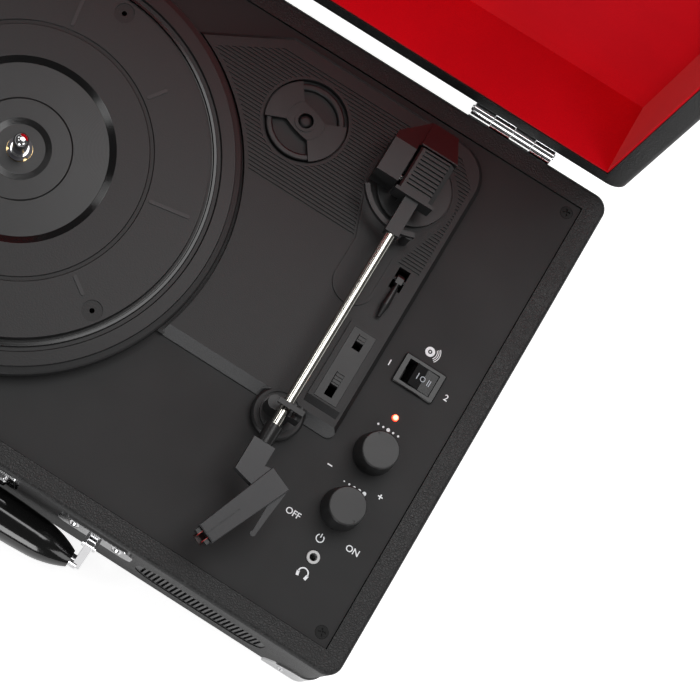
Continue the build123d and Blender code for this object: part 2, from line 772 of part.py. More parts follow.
def lever_slot(body):
    """The cue lever's slot, with two ears below it that carry the lever's pin."""
    half_x = LEVER_SLOT_W / 2
    half_y = LEVER_SLOT_L / 2
    body += block(LEVER_X - half_x - 1.6, LEVER_X + half_x + 1.6, LEVER_Y - half_y - 1.6, LEVER_Y + half_y + 1.6,
                  BOARD_TOP, DECK_TOP - DECK_SKIN / 2)
    body -= block(LEVER_X - half_x, LEVER_X + half_x, LEVER_Y - half_y, LEVER_Y + half_y, BOARD_TOP - 1, DECK_TOP + 1)
    pin = rod_x(LEVER_X - half_x - 0.5, LEVER_X + half_x + 0.5, LEVER_Y, LEVER_AXIS_Z, LEVER_PIN_R)
    return body + pin


# ================================================================ platter and drive
def motor_ear(side):
    """Where one of the motor's two mounting screws goes."""
    turn = math.radians(MOTOR_ANGLE + 90)
    return MOTOR_X + side * MOTOR_EAR * math.cos(turn), MOTOR_Y + side * MOTOR_EAR * math.sin(turn)


def spindle():
    """The record's pin on the shaft that the platter turns on, with a flange under the moulding."""
    under = BOARD_TOP - SPINDLE_FLANGE_T
    pin = post(PLATTER_X, PLATTER_Y, CLIP_TOP, SPINDLE_TOP, SPINDLE_R)
    pin = fillet(pin.edges().sort_by(Axis.Z)[-1], SPINDLE_NOSE_R)
    pin += post(PLATTER_X, PLATTER_Y, under, CLIP_TOP, SHAFT_R)
    return pin + post(PLATTER_X, PLATTER_Y, under, BOARD_TOP, SPINDLE_FLANGE_R)


def ring(z0, z1, outer_r, inner_r):
    """A flat ring round the spindle."""
    return post(PLATTER_X, PLATTER_Y, z0, z1, outer_r) - post(PLATTER_X, PLATTER_Y, z0 - 1, z1 + 1, inner_r)


def thrust_washer():
    return ring(FLOOR_TOP, FLOOR_TOP + WASHER_T, WASHER_R, SHAFT_R + RUN_GAP)


def platter_bush():
    z0 = FLOOR_TOP + WASHER_T + RUN_GAP
    return ring(z0, HUB_TOP - 0.2, BUSH_R, SHAFT_R + RUN_GAP)


def spindle_clip():
    clip = ring(CLIP_TOP - CLIP_T, CLIP_TOP, CLIP_R, SHAFT_R)
    for index in range(CLIP_NOTCHES):
        turn = Rot(0, 0, 90 + index * 360 / CLIP_NOTCHES)
        clip -= Pos(PLATTER_X, PLATTER_Y, CLIP_TOP) * turn * Pos(CLIP_R, 0, 0) * Cylinder(CLIP_NOTCH_R, 4 * CLIP_T)
    return clip


def platter_profile():
    """Half section of the platter, from the bore out to the skirt and back underneath."""
    label_z = MAT_Z - LABEL_DROP
    under = MAT_Z - PLATTER_T
    ring_in = BELT_RING_R - BELT_RING_T
    points = [
        (BUSH_R, HUB_TOP), (HUB_R, HUB_TOP), (HUB_SLOPE_R, label_z),
        (FINE_GROOVE_R - 0.4, label_z), (FINE_GROOVE_R, label_z - 0.4), (FINE_GROOVE_R + 0.4, label_z),
        (LABEL_INNER_R, label_z), (LABEL_R, MAT_Z),
        (MID_GROOVE_R - 1.2, MAT_Z), (MID_GROOVE_R - 0.8, MAT_Z - 0.6),
        (MID_GROOVE_R + 0.8, MAT_Z - 0.6), (MID_GROOVE_R + 1.2, MAT_Z),
        (MAT_R, MAT_Z), (MAT_R + 0.4, RIM_GROOVE_Z), (MAT_R + 1.8, RIM_GROOVE_Z), (MAT_R + 2.2, RIM_BAND_Z),
        (MAT_R + 3.4, RIM_BAND_Z), (MAT_R + 3.8, RIM_GROOVE_Z), (MAT_R + 5.4, RIM_GROOVE_Z),
        (MAT_R + 6.0, RIM_BAND_Z), (PLATTER_R - 3.4, RIM_BAND_Z - 0.5), (PLATTER_R - 3.0, RIM_BAND_Z - 1.9),
        (PLATTER_R - 0.7, RIM_BAND_Z - 2.6), (PLATTER_R, RIM_BAND_Z - 3.3), (PLATTER_R, SKIRT_Z),
        (PLATTER_R - SKIRT_T, SKIRT_Z), (PLATTER_R - SKIRT_T, RIM_BAND_Z - 4.4),
        (MAT_R + 4.4, RIM_GROOVE_Z - PLATTER_T), (MAT_R - 1.4, RIM_GROOVE_Z - PLATTER_T), (MAT_R - 2.4, under),
        (BELT_RING_R, under), (BELT_RING_R, BELT_Z - 0.6), (ring_in, BELT_Z - 0.6), (ring_in, under),
        (LABEL_INNER_R + 2, under), (LABEL_INNER_R, under - LABEL_DROP), (BUSH_R + 3, under - LABEL_DROP),
        (BUSH_R + 2.4, FLOOR_TOP + 1.6), (BUSH_R, FLOOR_TOP + 1.6),
    ]
    return make_face(Polyline(*points, close=True))


def platter():
    disc = revolve(Plane.XZ * platter_profile(), Axis.Z)
    marks = []
    for index in range(MARK_COUNT):
        length = MARK_SHORT if index % 2 else MARK_LONG
        bar = Pos(MARK_IN_R + length / 2, 0, MAT_Z - MARK_RISE) * extrude(SlotOverall(length, MARK_W), 2 * MARK_RISE)
        marks.append(Rot(0, 0, MARK_ANGLE + index * 360 / MARK_COUNT) * bar)
    for bar in marks:
        disc += bar
    for index in range(DIMPLE_COUNT):
        turn = Rot(0, 0, DIMPLE_ANGLE + index * 360 / DIMPLE_COUNT)
        disc -= turn * Pos(DIMPLE_R, 0, MAT_Z) * Cylinder(DIMPLE_HOLE_R, 4 * PLATTER_T)
        disc -= turn * Pos(DIMPLE_R, 0, MAT_Z) * Cylinder(DIMPLE_RING_R, 2 * DIMPLE_DEPTH)
    return Pos(PLATTER_X, PLATTER_Y, 0) * disc


def belt_loop(margin):
    """The flat outline round the platter's drive ring and the pulley."""
    big = Pos(PLATTER_X, PLATTER_Y) * Circle(BELT_RING_R + margin)
    small = Pos(MOTOR_X, MOTOR_Y) * Circle(PULLEY_R + margin)
    turn = math.radians(MOTOR_ANGLE)
    lean = math.acos((BELT_RING_R - PULLEY_R) / MOTOR_REACH)
    corners = []
    for cx, cy, radius, sign in ((PLATTER_X, PLATTER_Y, BELT_RING_R, 1), (MOTOR_X, MOTOR_Y, PULLEY_R, 1),
                                 (MOTOR_X, MOTOR_Y, PULLEY_R, -1), (PLATTER_X, PLATTER_Y, BELT_RING_R, -1)):
        angle = turn + sign * lean
        corners.append((cx + (radius + margin) * math.cos(angle), cy + (radius + margin) * math.sin(angle)))
    return big + small + outline(*corners)


def drive_belt():
    loop = belt_loop(RUN_GAP + BELT_T) - belt_loop(RUN_GAP)
    return prism(loop, BELT_Z, BELT_Z + BELT_H)


def motor_pulley():
    z0 = BELT_Z - 1.4
    wheel = post(MOTOR_X, MOTOR_Y, z0, z0 + PULLEY_H, PULLEY_R)
    for z in (z0, z0 + PULLEY_H - 0.8):
        wheel += post(MOTOR_X, MOTOR_Y, z, z + 0.8, PULLEY_R + PULLEY_FLANGE)
    return wheel + post(MOTOR_X, MOTOR_Y, BOARD_TOP - MOTOR_H * 0.6, z0, MOTOR_SHAFT_R)


def motor():
    can = post(MOTOR_X, MOTOR_Y, BOARD_TOP - MOTOR_H, BOARD_TOP - 1.2, MOTOR_R)
    can = fillet(can.edges().sort_by(Axis.Z)[0], 1.5)
    turn = Pos(MOTOR_X, MOTOR_Y, 0) * Rot(0, 0, MOTOR_ANGLE + 90)
    can += turn * Pos(0, 0, BOARD_TOP - 0.6) * extrude(SlotOverall(2 * MOTOR_EAR + 8, 8), 0.6)
    can += turn * Pos(0, 0, BOARD_TOP - 1.2) * extrude(SlotOverall(2 * MOTOR_EAR + 8, 8), 0.6)
    for side in (-1, 1):
        x, y = motor_ear(side)
        can -= post(x, y, BOARD_TOP - 3, BOARD_TOP + 1, SCREW_R + FIT)
    return can - post(MOTOR_X, MOTOR_Y, BOARD_TOP - MOTOR_H * 0.6, BOARD_TOP + 1, MOTOR_SHAFT_R + RUN_GAP)


def motor_screws():
    screws = []
    for side in (-1, 1):
        x, y = motor_ear(side)
        shank = post(x, y, BOARD_TOP - 1.6, FLOOR_TOP, SCREW_R)
        screws.append(shank + post(x, y, FLOOR_TOP, FLOOR_TOP + 1.4, SCREW_R * 1.9))
    return joined(screws)


# ================================================================ record adapter
def record_adapter():
    """A round frame with a bow-tie plate across it and a bored boss in the middle."""
    z0 = ADAPTER_SEAT + FIT
    top = z0 + ADAPTER_T
    frame = post(0, 0, z0, z0 + ADAPTER_FRAME_T, ADAPTER_FRAME_R) - post(0, 0, z0 - 1, top, ADAPTER_FRAME_IN_R)
    frame = fillet(frame.faces().sort_by(Axis.Z)[-1].edges(), ADAPTER_FRAME_EDGE)
    plate = post(0, 0, top - ADAPTER_PLATE_T, top, ADAPTER_R)
    for turn in (ADAPTER_TURN, ADAPTER_TURN + 180):
        plate -= Rot(0, 0, turn) * adapter_window(top)
    groove_z = top - ADAPTER_GROOVE_DEPTH
    plate -= (post(0, 0, groove_z, top + 1, ADAPTER_GROOVE_R)
              - post(0, 0, groove_z, top + 1, ADAPTER_GROOVE_R - ADAPTER_GROOVE_W))
    body = frame + plate + post(0, 0, z0, top + ADAPTER_BOSS_RISE, ADAPTER_BOSS_R)
    body -= post(0, 0, z0 - 1, top + 2, ADAPTER_BORE_R)
    return Pos(ADAPTER_X, ADAPTER_Y, 0) * body


def adapter_window(top):
    """The sector taken out of the plate between the hub and the rim."""
    half = math.radians(ADAPTER_WINDOW_DEG / 2)
    near = (ADAPTER_WINDOW_SIDE_R * math.cos(half), ADAPTER_WINDOW_SIDE_R * math.sin(half))
    reach = ADAPTER_R + 1
    far = (reach * math.cos(half), reach * math.sin(half))
    sector = make_face([
        ThreePointArc((near[0], -near[1]), (ADAPTER_WINDOW_IN_R, 0), near),
        Line(near, far),
        ThreePointArc(far, (reach, 0), (far[0], -far[1])),
        Line((far[0], -far[1]), (near[0], -near[1])),
    ])
    return prism(sector, top - 2 * ADAPTER_PLATE_T, top + 1)


# ================================================================ tonearm
def slope_cut(x0, x1, y_start, z_start):
    """The wedge above a roof that falls towards the rear from a given line."""
    side = make_face(Polyline((y_start, z_start), (HOOD_REAR, YOKE_TOP - HOOD_DROP),
                              (HOOD_REAR + 5, YOKE_TOP - HOOD_DROP - 5), (HOOD_REAR + 5, z_start + 5),
                              (y_start, z_start + 5), close=True))
    return Pos(x0, 0, 0) * extrude(Plane.YZ * side, x1 - x0)


def tonearm_yoke():
    disc_top = YOKE_Z + YOKE_DISC_T
    yoke = post(ARM_X, PIVOT_Y, YOKE_Z, disc_top, YOKE_DISC_R)
    yoke += post(ARM_X, PIVOT_Y, YOKE_Z - YOKE_SHAFT_L, YOKE_Z, YOKE_SHAFT_R)
    body_z = disc_top + 0.8
    plan = outline(
        (WING_LEFT, WING_FRONT), (WING_RIGHT, WING_FRONT), (WING_RIGHT, HOOD_FACE), (HOOD_RIGHT, HOOD_FACE),
        (HOOD_REAR_RIGHT, HOOD_REAR), (HOOD_REAR_LEFT, HOOD_REAR), (WING_LEFT, WING_REAR),
    )
    yoke += prism(plan, body_z, YOKE_TOP)
    yoke += block(WING_RIGHT - 6.5, WING_RIGHT, PIVOT_Y - 6, PIVOT_Y + 10, disc_top - 0.5, body_z + 0.5)
    yoke -= slope_cut(WING_LEFT - 1, HOOD_REAR_LEFT, WING_REAR - 4.3, YOKE_TOP)
    yoke -= slope_cut(HOOD_REAR_LEFT, HOOD_RIGHT + 1, HOOD_FACE + 0.6, YOKE_TOP)
    ear_x = ARM_X + KEEL_W / 2 + 0.5
    ear = block(ear_x, ear_x + EAR_T, PIVOT_Y - EAR_Y / 2, PIVOT_Y + EAR_Y / 2, disc_top - 0.5, TILT_Z)
    yoke += ear + rod_x(ear_x, ear_x + EAR_T, PIVOT_Y, TILT_Z, TILT_PIN_R + 1.5)
    return yoke - rod_x(WING_RIGHT - 6, ear_x + EAR_T + 1, PIVOT_Y, TILT_Z, TILT_PIN_R)


def tilt_pin():
    return rod_x(WING_RIGHT - 6, ARM_X + KEEL_W / 2 + 0.5 + EAR_T, PIVOT_Y, TILT_Z, TILT_PIN_R)


def tonearm_block():
    body = block(HEAD_BLOCK_LEFT, HEAD_BLOCK_RIGHT, HEAD_BLOCK_FRONT, HEAD_BLOCK_REAR, HEAD_BLOCK_Z, HEAD_BLOCK_TOP)
    roof = body.faces().sort_by(Axis.Z)[-1].edges().filter_by(Axis.Y).sort_by(Axis.X)
    body = chamfer(roof[-1], HEAD_BLOCK_SLOPE)
    body = chamfer(body.faces().sort_by(Axis.Z)[-1].edges().filter_by(Axis.Y).sort_by(Axis.X)[0], HEAD_BLOCK_EDGE)
    flange = block(HEAD_BLOCK_LEFT - 1, HEAD_BLOCK_RIGHT + 1, HEAD_BLOCK_FRONT - 0.4, HEAD_BLOCK_FRONT + 1.2,
                   HEAD_BLOCK_Z - 0.6, HEAD_BLOCK_TOP + 0.7)
    body += flange
    body += block(ARM_X - KEEL_W / 2, ARM_X + KEEL_W / 2, HEAD_BLOCK_FRONT, HEAD_BLOCK_REAR - 3, KEEL_Z, HEAD_BLOCK_Z)
    body += block(ARM_X - NOSE_W / 2, ARM_X + NOSE_W / 2, NOSE_FRONT, HEAD_BLOCK_FRONT + 2, NOSE_Z, NOSE_TOP)
    middle = (HEAD_BLOCK_LEFT + HEAD_BLOCK_RIGHT) / 2
    first = HEAD_BLOCK_FRONT + 4.4
    for index in range(HEAD_BLOCK_SLOTS):
        slot = Box(HEAD_BLOCK_RIGHT - HEAD_BLOCK_LEFT - 4.4, HEAD_SLOT, 2 * HEAD_SLOT_DEPTH)
        body -= Pos(middle, first + index * HEAD_BLOCK_PITCH, HEAD_BLOCK_TOP) * slot
    body -= rod_x(HEAD_BLOCK_LEFT - 1, HEAD_BLOCK_RIGHT + 1, PIVOT_Y, TILT_Z, TILT_PIN_R + RUN_GAP)
    return body - rod_y(ARM_X, NOSE_FRONT - 1, NOSE_FRONT + TUBE_SOCKET, TUBE_Z, TUBE_R)


def tonearm_tube():
    rear = NOSE_FRONT + TUBE_SOCKET
    return rod_y(ARM_X, TUBE_FRONT, rear, TUBE_Z, TUBE_R) - rod_y(ARM_X, TUBE_FRONT - 1, rear + 1, TUBE_Z, TUBE_BORE_R)


def tube_collar():
    length = COLLAR_REAR - COLLAR_FRONT
    cone = Pos(ARM_X, (COLLAR_REAR + COLLAR_FRONT) / 2, TUBE_Z) * Rot(90, 0, 0) * Cone(COLLAR_R, COLLAR_TIP_R, length)
    return cone - rod_y(ARM_X, TUBE_FRONT, COLLAR_REAR + 1, TUBE_Z, TUBE_R)


def shell_place():
    """The headshell's own frame: origin at the middle of its rear end, -Y towards the stylus."""
    return Pos(SHELL_X, SHELL_Y, 0) * Rot(0, 0, -SHELL_ANGLE)


def shell_point(x, y):
    spot = shell_place() * Pos(x, y, 0)
    return spot.position.X, spot.position.Y


def headshell_neck():
    left = ARM_X - NECK_W / 2
    right = ARM_X + NECK_W / 2
    side = -SHELL_REAR_W / 2
    plan = outline((left, COLLAR_FRONT), (right, COLLAR_FRONT), (right, SHELL_Y + 0.8), shell_point(side, -1),
                   shell_point(side + 0.36, -12), (left, NECK_FRONT))
    return prism(plan, NECK_Z, NECK_TOP) - shell_place() * shell_body()


def shell_body():
    rear = SHELL_REAR_W / 2
    front = SHELL_FRONT_W / 2
    return prism(outline((-rear, 0), (rear, 0), (front, -SHELL_L), (-front, -SHELL_L)), SHELL_Z, SHELL_TOP)


def headshell():
    shell = shell_body()
    shell = fillet(shell.faces().sort_by(Axis.Z)[-1].edges(), 0.4)
    half = CARTRIDGE_W / 2 - 0.3
    shell -= block(-half, half, -SHELL_L - 1, -SHELL_L + CARTRIDGE_L - CARTRIDGE_NOSE, SHELL_Z - 1, SHELL_TOP - 1.6)
    slit = block(-SHELL_SLIT_W / 2, SHELL_SLIT_W / 2, -SHELL_L - 1, -SHELL_L + SHELL_SLIT_L, SHELL_TOP - 0.4, SHELL_TOP + 1)
    return shell_place() * (shell - slit)


def cartridge():
    half = CARTRIDGE_W / 2 - 0.4
    rear = -SHELL_L + CARTRIDGE_L - CARTRIDGE_NOSE - 0.1
    body = block(-half, half, -SHELL_L, rear, CARTRIDGE_Z + 1.6, SHELL_TOP - 1.7)
    lug = block(half - LUG_W, half, -SHELL_L - LUG_OUT, -SHELL_L, CARTRIDGE_Z + 2.6, SHELL_TOP - 2.6)
    for piece in both_sides(lug):
        body += piece
    return shell_place() * body


def stylus():
    carrier = block(-2.6, 2.6, -SHELL_L - CARTRIDGE_NOSE, -SHELL_L + 6, CARTRIDGE_Z, CARTRIDGE_Z + 1.6)
    tip_y = -SHELL_L - CARTRIDGE_NOSE + 1
    tip = Pos(0, tip_y, (STYLUS_Z + CARTRIDGE_Z) / 2) * Cone(0.25, 0.7, CARTRIDGE_Z - STYLUS_Z)
    return shell_place() * (carrier + tip)


def finger_lift():
    root = SHELL_REAR_W / 2
    blade = make_face([
        Line((root, -0.6), (root + 3.6, -13.3)), Line((root + 3.6, -13.3), (root + 6.6, -23.0)),
        ThreePointArc((root + 6.6, -23.0), (root + 5.9, -24.9), (root + 4.5, -23.0)),
        Line((root + 4.5, -23.0), (root - 0.3, -11.4)), Line((root - 0.3, -11.4), (root, -0.6)),
    ])
    plate = prism(blade, SHELL_TOP - 3.4, SHELL_TOP - 3.4 + LIFT_FINGER_W * 0.5)
    return shell_place() * (plate - shell_body())


# ================================================================ cueing
def cue_lift():
    """The curved bar under the arm, centred on the arm's pivot, with its stem."""
    arc = Pos(ARM_X, PIVOT_Y) * (Circle(CUE_R + CUE_W / 2) - Circle(CUE_R - CUE_W / 2))
    far = CUE_R * 3
    steps = [math.radians(-90 - CUE_FROM - (CUE_TO - CUE_FROM) * k / 3) for k in range(4)]
    wedge = [(ARM_X, PIVOT_Y)] + [(ARM_X + far * math.cos(a), PIVOT_Y + far * math.sin(a)) for a in steps]
    arc = arc & outline(*wedge)
    bar = prism(arc, CUE_TOP - CUE_H, CUE_TOP)
    return bar + post(STEM_X, STEM_Y, BOARD_TOP, CUE_TOP - CUE_H / 2, CUE_STEM_R)


def cue_lever():
    hub = rod_x(LEVER_X - LEVER_W / 2, LEVER_X + LEVER_W / 2, LEVER_Y, LEVER_AXIS_Z, 2.4)
    arm = block(LEVER_X - LEVER_W / 2, LEVER_X + LEVER_W / 2, LEVER_Y - 3, LEVER_Y, LEVER_AXIS_Z, LEVER_Z + 2.2)
    arm += rod_y(LEVER_X, LEVER_Y - GRIP_FROM - 4, LEVER_Y - 2, LEVER_Z + 1.2, 0.9)
    return hub + arm - rod_x(LEVER_X - 9, LEVER_X + 9, LEVER_Y, LEVER_AXIS_Z, LEVER_PIN_R + RUN_GAP)


def cue_grip():
    y0 = LEVER_Y - GRIP_FROM
    shaft = Pos(LEVER_X, y0 - GRIP_L * 0.3, LEVER_Z + 1.2) * Rot(90, 0, 0) * Cone(GRIP_TIP_R + 0.5, GRIP_R, GRIP_L * 0.6)
    end = Pos(LEVER_X, y0 - GRIP_L * 0.8, LEVER_Z + 1.2) * Rot(90, 0, 0) * Cone(GRIP_R, GRIP_TIP_R, GRIP_L * 0.4)
    return shaft + end - rod_y(LEVER_X, y0 - 4, y0 + 1, LEVER_Z + 1.2, 0.9)


# ================================================================ arm rest
def arm_rest():
    base_z = DECK_TOP - REST_SINK
    seat = TUBE_Z - TUBE_R - CRADLE_GAP
    half_y = REST_L / 2 + 1.1
    rest = post(ARM_X, REST_Y, base_z, base_z + REST_BASE_T, REST_BASE_R)
    rest += block(ARM_X - REST_POST_W / 2, ARM_X + REST_POST_W / 2, REST_Y - half_y, REST_Y + half_y, base_z, seat)
    rest += post(ARM_X - REST_POST_W / 2, REST_Y, base_z, seat - 0.4, half_y)
    side_x = ARM_X + TUBE_R + 0.3
    hub = rod_y(CLIP_X, REST_Y - half_y, REST_Y + half_y, CLIP_Z, CLIP_HUB_R)
    side = block(side_x, CLIP_X + CLIP_HUB_R, REST_Y - half_y, REST_Y + half_y, seat - 7, CLIP_Z) + hub
    half_clip = CLIP_W / 2 + 0.2
    side -= block(side_x + 1.0, CLIP_X + CLIP_HUB_R + 1, REST_Y - half_clip, REST_Y + half_clip,
                  CLIP_Z - CLIP_HUB_R - 0.3, CLIP_Z + 9)
    return rest + side + rod_y(CLIP_X, REST_Y - half_y, REST_Y + half_y, CLIP_Z, CLIP_PIN_R)


def arm_clip():
    low = REST_Y - CLIP_W / 2
    high = REST_Y + CLIP_W / 2
    strap_z = TUBE_Z + TUBE_R + CLIP_PLAY
    left = ARM_X - TUBE_R - 2.2
    clip = rod_y(CLIP_X, low, high, CLIP_Z, CLIP_HUB_R)
    clip += block(CLIP_X - 1.0, CLIP_X + CLIP_HUB_R - 0.4, low, high, CLIP_Z, strap_z + CLIP_STRAP)
    clip += block(left, CLIP_X, low, high, strap_z, strap_z + CLIP_STRAP)
    clip += block(left, left + CLIP_STRAP, low, high, strap_z - 1.1, strap_z + CLIP_STRAP)
    return clip - rod_y(CLIP_X, low - 1, high + 1, CLIP_Z, CLIP_PIN_R + RUN_GAP)


# ================================================================ slide switches
def switch_plate():
    half = PLATE_W / 2
    plate = block(SWITCH_X - half, SWITCH_X + half, PLATE_FRONT, PLATE_REAR, SWITCH_TOP - PLATE_T, SWITCH_TOP + 0.2)
    for y0, y1 in ((SPEED_FRONT, SPEED_REAR), (STOP_FRONT, STOP_REAR)):
        plate -= block(SWITCH_X - SLOT_W / 2, SWITCH_X + SLOT_W / 2, y0, y1, SWITCH_TOP - 2, SWITCH_TOP + 1)
    return plate


def slider(rear, length):
    """A slide-switch knob at the rear end of its slot, kept in by a flange under the deck."""
    half = SLOT_W / 2 - SLIDER_SIDE
    y1 = rear - SLIDER_SIDE
    y0 = y1 - length
    under = DECK_TOP - DECK_SKIN - SLIDER_SIDE
    knob = block(SWITCH_X - half, SWITCH_X + half, y0, y1, under - SLIDER_FLANGE, SWITCH_TOP + SLIDER_RISE)
    knob += block(SWITCH_X - half - 1, SWITCH_X + half + 1, y0, y1, under - SLIDER_FLANGE, under)
    grooves = int(length / 1.3)
    for index in range(grooves):
        y = y0 + (index + 0.5) * length / grooves
        knob -= block(SWITCH_X - half - 1, SWITCH_X + half + 1, y - 0.3, y + 0.3, SWITCH_TOP + SLIDER_RISE - 0.5, 99)
    return knob


def speed_slider():
    return slider(SPEED_REAR, SPEED_KNOB_L)


def autostop_slider():
    return slider(STOP_REAR, STOP_KNOB_L)


# ================================================================ right-hand controls
def rocker_opening(margin):
    lean = math.radians(ROCKER_TILT)
    width = ROCKER_CAP_W * math.cos(lean) + 2 * ROCKER_CAP_H * math.sin(lean) + 2 * margin
    return width, ROCKER_CAP_D + 2 * margin


def rocker_bezel():
    lip = Pos(PANEL_X, ROCKER_Y, BOARD_TOP) * extrude(RectangleRounded(ROCKER_W, ROCKER_D, 1.0), ROCKER_LIP)
    lip = chamfer(lip.faces().sort_by(Axis.Z)[-1].edges(), 0.5)
    half_x = ROCKER_W / 2 - 1 - FIT
    half_y = ROCKER_D / 2 - 1 - FIT
    lip += block(PANEL_X - half_x, PANEL_X + half_x, ROCKER_Y - half_y, ROCKER_Y + half_y,
                 BOARD_UNDER - ROCKER_BODY_H, BOARD_TOP)
    width, depth = rocker_opening(ROCKER_GAP)
    lip -= block(PANEL_X - width / 2, PANEL_X + width / 2, ROCKER_Y - depth / 2, ROCKER_Y + depth / 2,
                 ROCKER_PIVOT_Z - ROCKER_DEPTH, BOARD_TOP + 9)
    return lip - rod_y(PANEL_X, ROCKER_Y - half_y + 0.3, ROCKER_Y + half_y - 0.3, ROCKER_PIVOT_Z, ROCKER_PIN_R + RUN_GAP)


def rocker_cap():
    """A tall cap on a deep pivot, so tilting it opens a gap at one side of the bezel."""
    w = ROCKER_CAP_W / 2
    side = make_face(Polyline((-w, -ROCKER_CAP_DROP), (-w, ROCKER_CAP_H), (0, ROCKER_CAP_H - ROCKER_DISH),
                              (w, ROCKER_CAP_H), (w, -ROCKER_CAP_DROP), (0, -ROCKER_CAP_DROP - 1), close=True))
    cap = extrude(Plane.XZ * side, ROCKER_CAP_D / 2, both=True)
    half_y = ROCKER_D / 2 - 1 - FIT - 0.5
    cap += rod_y(0, -half_y, half_y, 0, ROCKER_PIN_R)
    return Pos(PANEL_X, ROCKER_Y, ROCKER_PIVOT_Z) * Rot(0, ROCKER_TILT, 0) * cap


def led_lens():
    lens = post(PANEL_X, LED_Y, BOARD_UNDER - 3, BOARD_TOP + 0.9, LED_R)
    lens = fillet(lens.edges().sort_by(Axis.Z)[-1], 0.8)
    return lens + post(PANEL_X, LED_Y, BOARD_UNDER - 3, BOARD_UNDER, LED_R + 0.6)


def knob(y, dot_angle):
    """A tapered knob, hollow round the nut, with its shaft and an index dot on top."""
    z0 = BOARD_TOP + KNOB_FLOAT
    body = Pos(0, 0, z0) * Cone(KNOB_R, KNOB_TOP_R, KNOB_H, align=(Align.CENTER, Align.CENTER, Align.MIN))
    body = fillet(body.edges().sort_by(Axis.Z)[-1], KNOB_EDGE)
    body -= post(0, 0, z0 - 1, z0 + POT_NUT_H + 1.4, POT_NUT_R + 1.2)
    body += post(0, 0, BOARD_TOP - 3, z0 + POT_SHAFT_L, POT_SHAFT_R)
    turn = math.radians(dot_angle)
    reach = KNOB_TOP_R - KNOB_EDGE - KNOB_DOT_R
    body -= Pos(reach * math.cos(turn), reach * math.sin(turn), z0 + KNOB_H) * Cylinder(KNOB_DOT_R, 0.8)
    return Pos(PANEL_X, y, 0) * body


def potentiometers():
    pots = []
    for y in (PITCH_Y, VOLUME_Y):
        pot = post(PANEL_X, y, BOARD_UNDER - POT_H, BOARD_UNDER, POT_R)
        pot += post(PANEL_X, y, BOARD_UNDER, BOARD_TOP + POT_NUT_H + 0.6, POT_BUSH_R)
        pot += block(PANEL_X + POT_R - 2, PANEL_X + POT_R + 4, y - 5, y + 5, BOARD_UNDER - POT_H, BOARD_UNDER - POT_H + 1.6)
        pots.append(pot - post(PANEL_X, y, BOARD_TOP - 3.2, BOARD_TOP + 9, POT_SHAFT_R + RUN_GAP))
    return joined(pots)


def pot_nuts():
    nuts = []
    for y in (PITCH_Y, VOLUME_Y):
        nut = Pos(PANEL_X, y, BOARD_TOP) * extrude(RegularPolygon(POT_NUT_R, 6), POT_NUT_H)
        nuts.append(nut - post(PANEL_X, y, BOARD_TOP - 1, BOARD_TOP + 9, POT_BUSH_R))
    return joined(nuts)


def headphone_jack():
    jack = post(PANEL_X, JACK_Y, BOARD_TOP, BOARD_TOP + JACK_RING_H, JACK_RING_R)
    jack = fillet(jack.edges().sort_by(Axis.Z)[-1], 0.3)
    jack += post(PANEL_X, JACK_Y, BOARD_UNDER, BOARD_TOP, JACK_RING_R - 0.5)
    half = JACK_BODY / 2
    jack += block(PANEL_X - half, PANEL_X + half, JACK_Y - half, JACK_Y + half, BOARD_UNDER - JACK_BODY_H, BOARD_UNDER)
    return jack - post(PANEL_X, JACK_Y, BOARD_TOP + JACK_RING_H - JACK_DEPTH, BOARD_TOP + 9, JACK_BORE_R)


# ================================================================ sound and electronics
def speaker_grille():
    depth = GRILLE_T
    plate = grille_outline(0)
    grille = extrude(plate, depth)
    count = int((GRILLE_RIGHT - GRILLE_LEFT - 2 * GRILLE_RIM) / GRILLE_PITCH)
    slots = []
    for index in range(count):
        x = (index - (count - 1) / 2) * GRILLE_PITCH
        slots.append(Pos(x, 0, depth / 2) * Box(GRILLE_SLOT, GRILLE_H, depth * 2))
    opening = extrude(grille_outline(-GRILLE_RIM), depth * 2)
    grille -= Pos(0, 0, -depth / 2) * opening & Compound(children=slots)
    return grille


def place_grille(shape):
    middle = (GRILLE_LEFT + GRILLE_RIGHT) / 2
    return Pos(middle, FRONT + GRILLE_SINK + GRILLE_T, GRILLE_Z) * Rot(90, 0, 0) * shape


def speaker():
    """Basket and magnet, turned about the cone's axis."""
    y = WALL
    section = [
        (CONE_R, y), (SPEAKER_R, y), (SPEAKER_R, y + BASKET_T), (CONE_R + 1.5, y + BASKET_T),
        (MAGNET_R - 2, y + BASKET_T + CONE_DEEP + 2), (MAGNET_R, y + BASKET_T + CONE_DEEP + 2),
        (MAGNET_R, y + BASKET_T + CONE_DEEP + 2 + MAGNET_H), (0, y + BASKET_T + CONE_DEEP + 2 + MAGNET_H),
        (0, y + BASKET_T + CONE_DEEP), (MAGNET_R - 4, y + BASKET_T + CONE_DEEP), (CONE_R, y + BASKET_T),
    ]
    return on_speaker_axis(section)


def on_speaker_axis(section):
    """Turn a (radius, depth) section about the right speaker's axis, depth measured from the front."""
    shape = revolve(make_face(Polyline(*section, close=True)), Axis.Y)
    return Pos((GRILLE_LEFT + GRILLE_RIGHT) / 2, FRONT, GRILLE_Z) * shape


def speaker_cone():
    y = WALL + BASKET_T
    dust_r = 6.0
    return on_speaker_axis([
        (0, y + CONE_DEEP - 4.0), (dust_r * 0.7, y + CONE_DEEP - 3.2), (dust_r, y + CONE_DEEP - 1.4),
        (CONE_R - 0.4, y - 1.6), (CONE_R - 0.4, y - 0.6), (dust_r, y + CONE_DEEP - 0.4), (0, y + CONE_DEEP - 0.4),
    ])


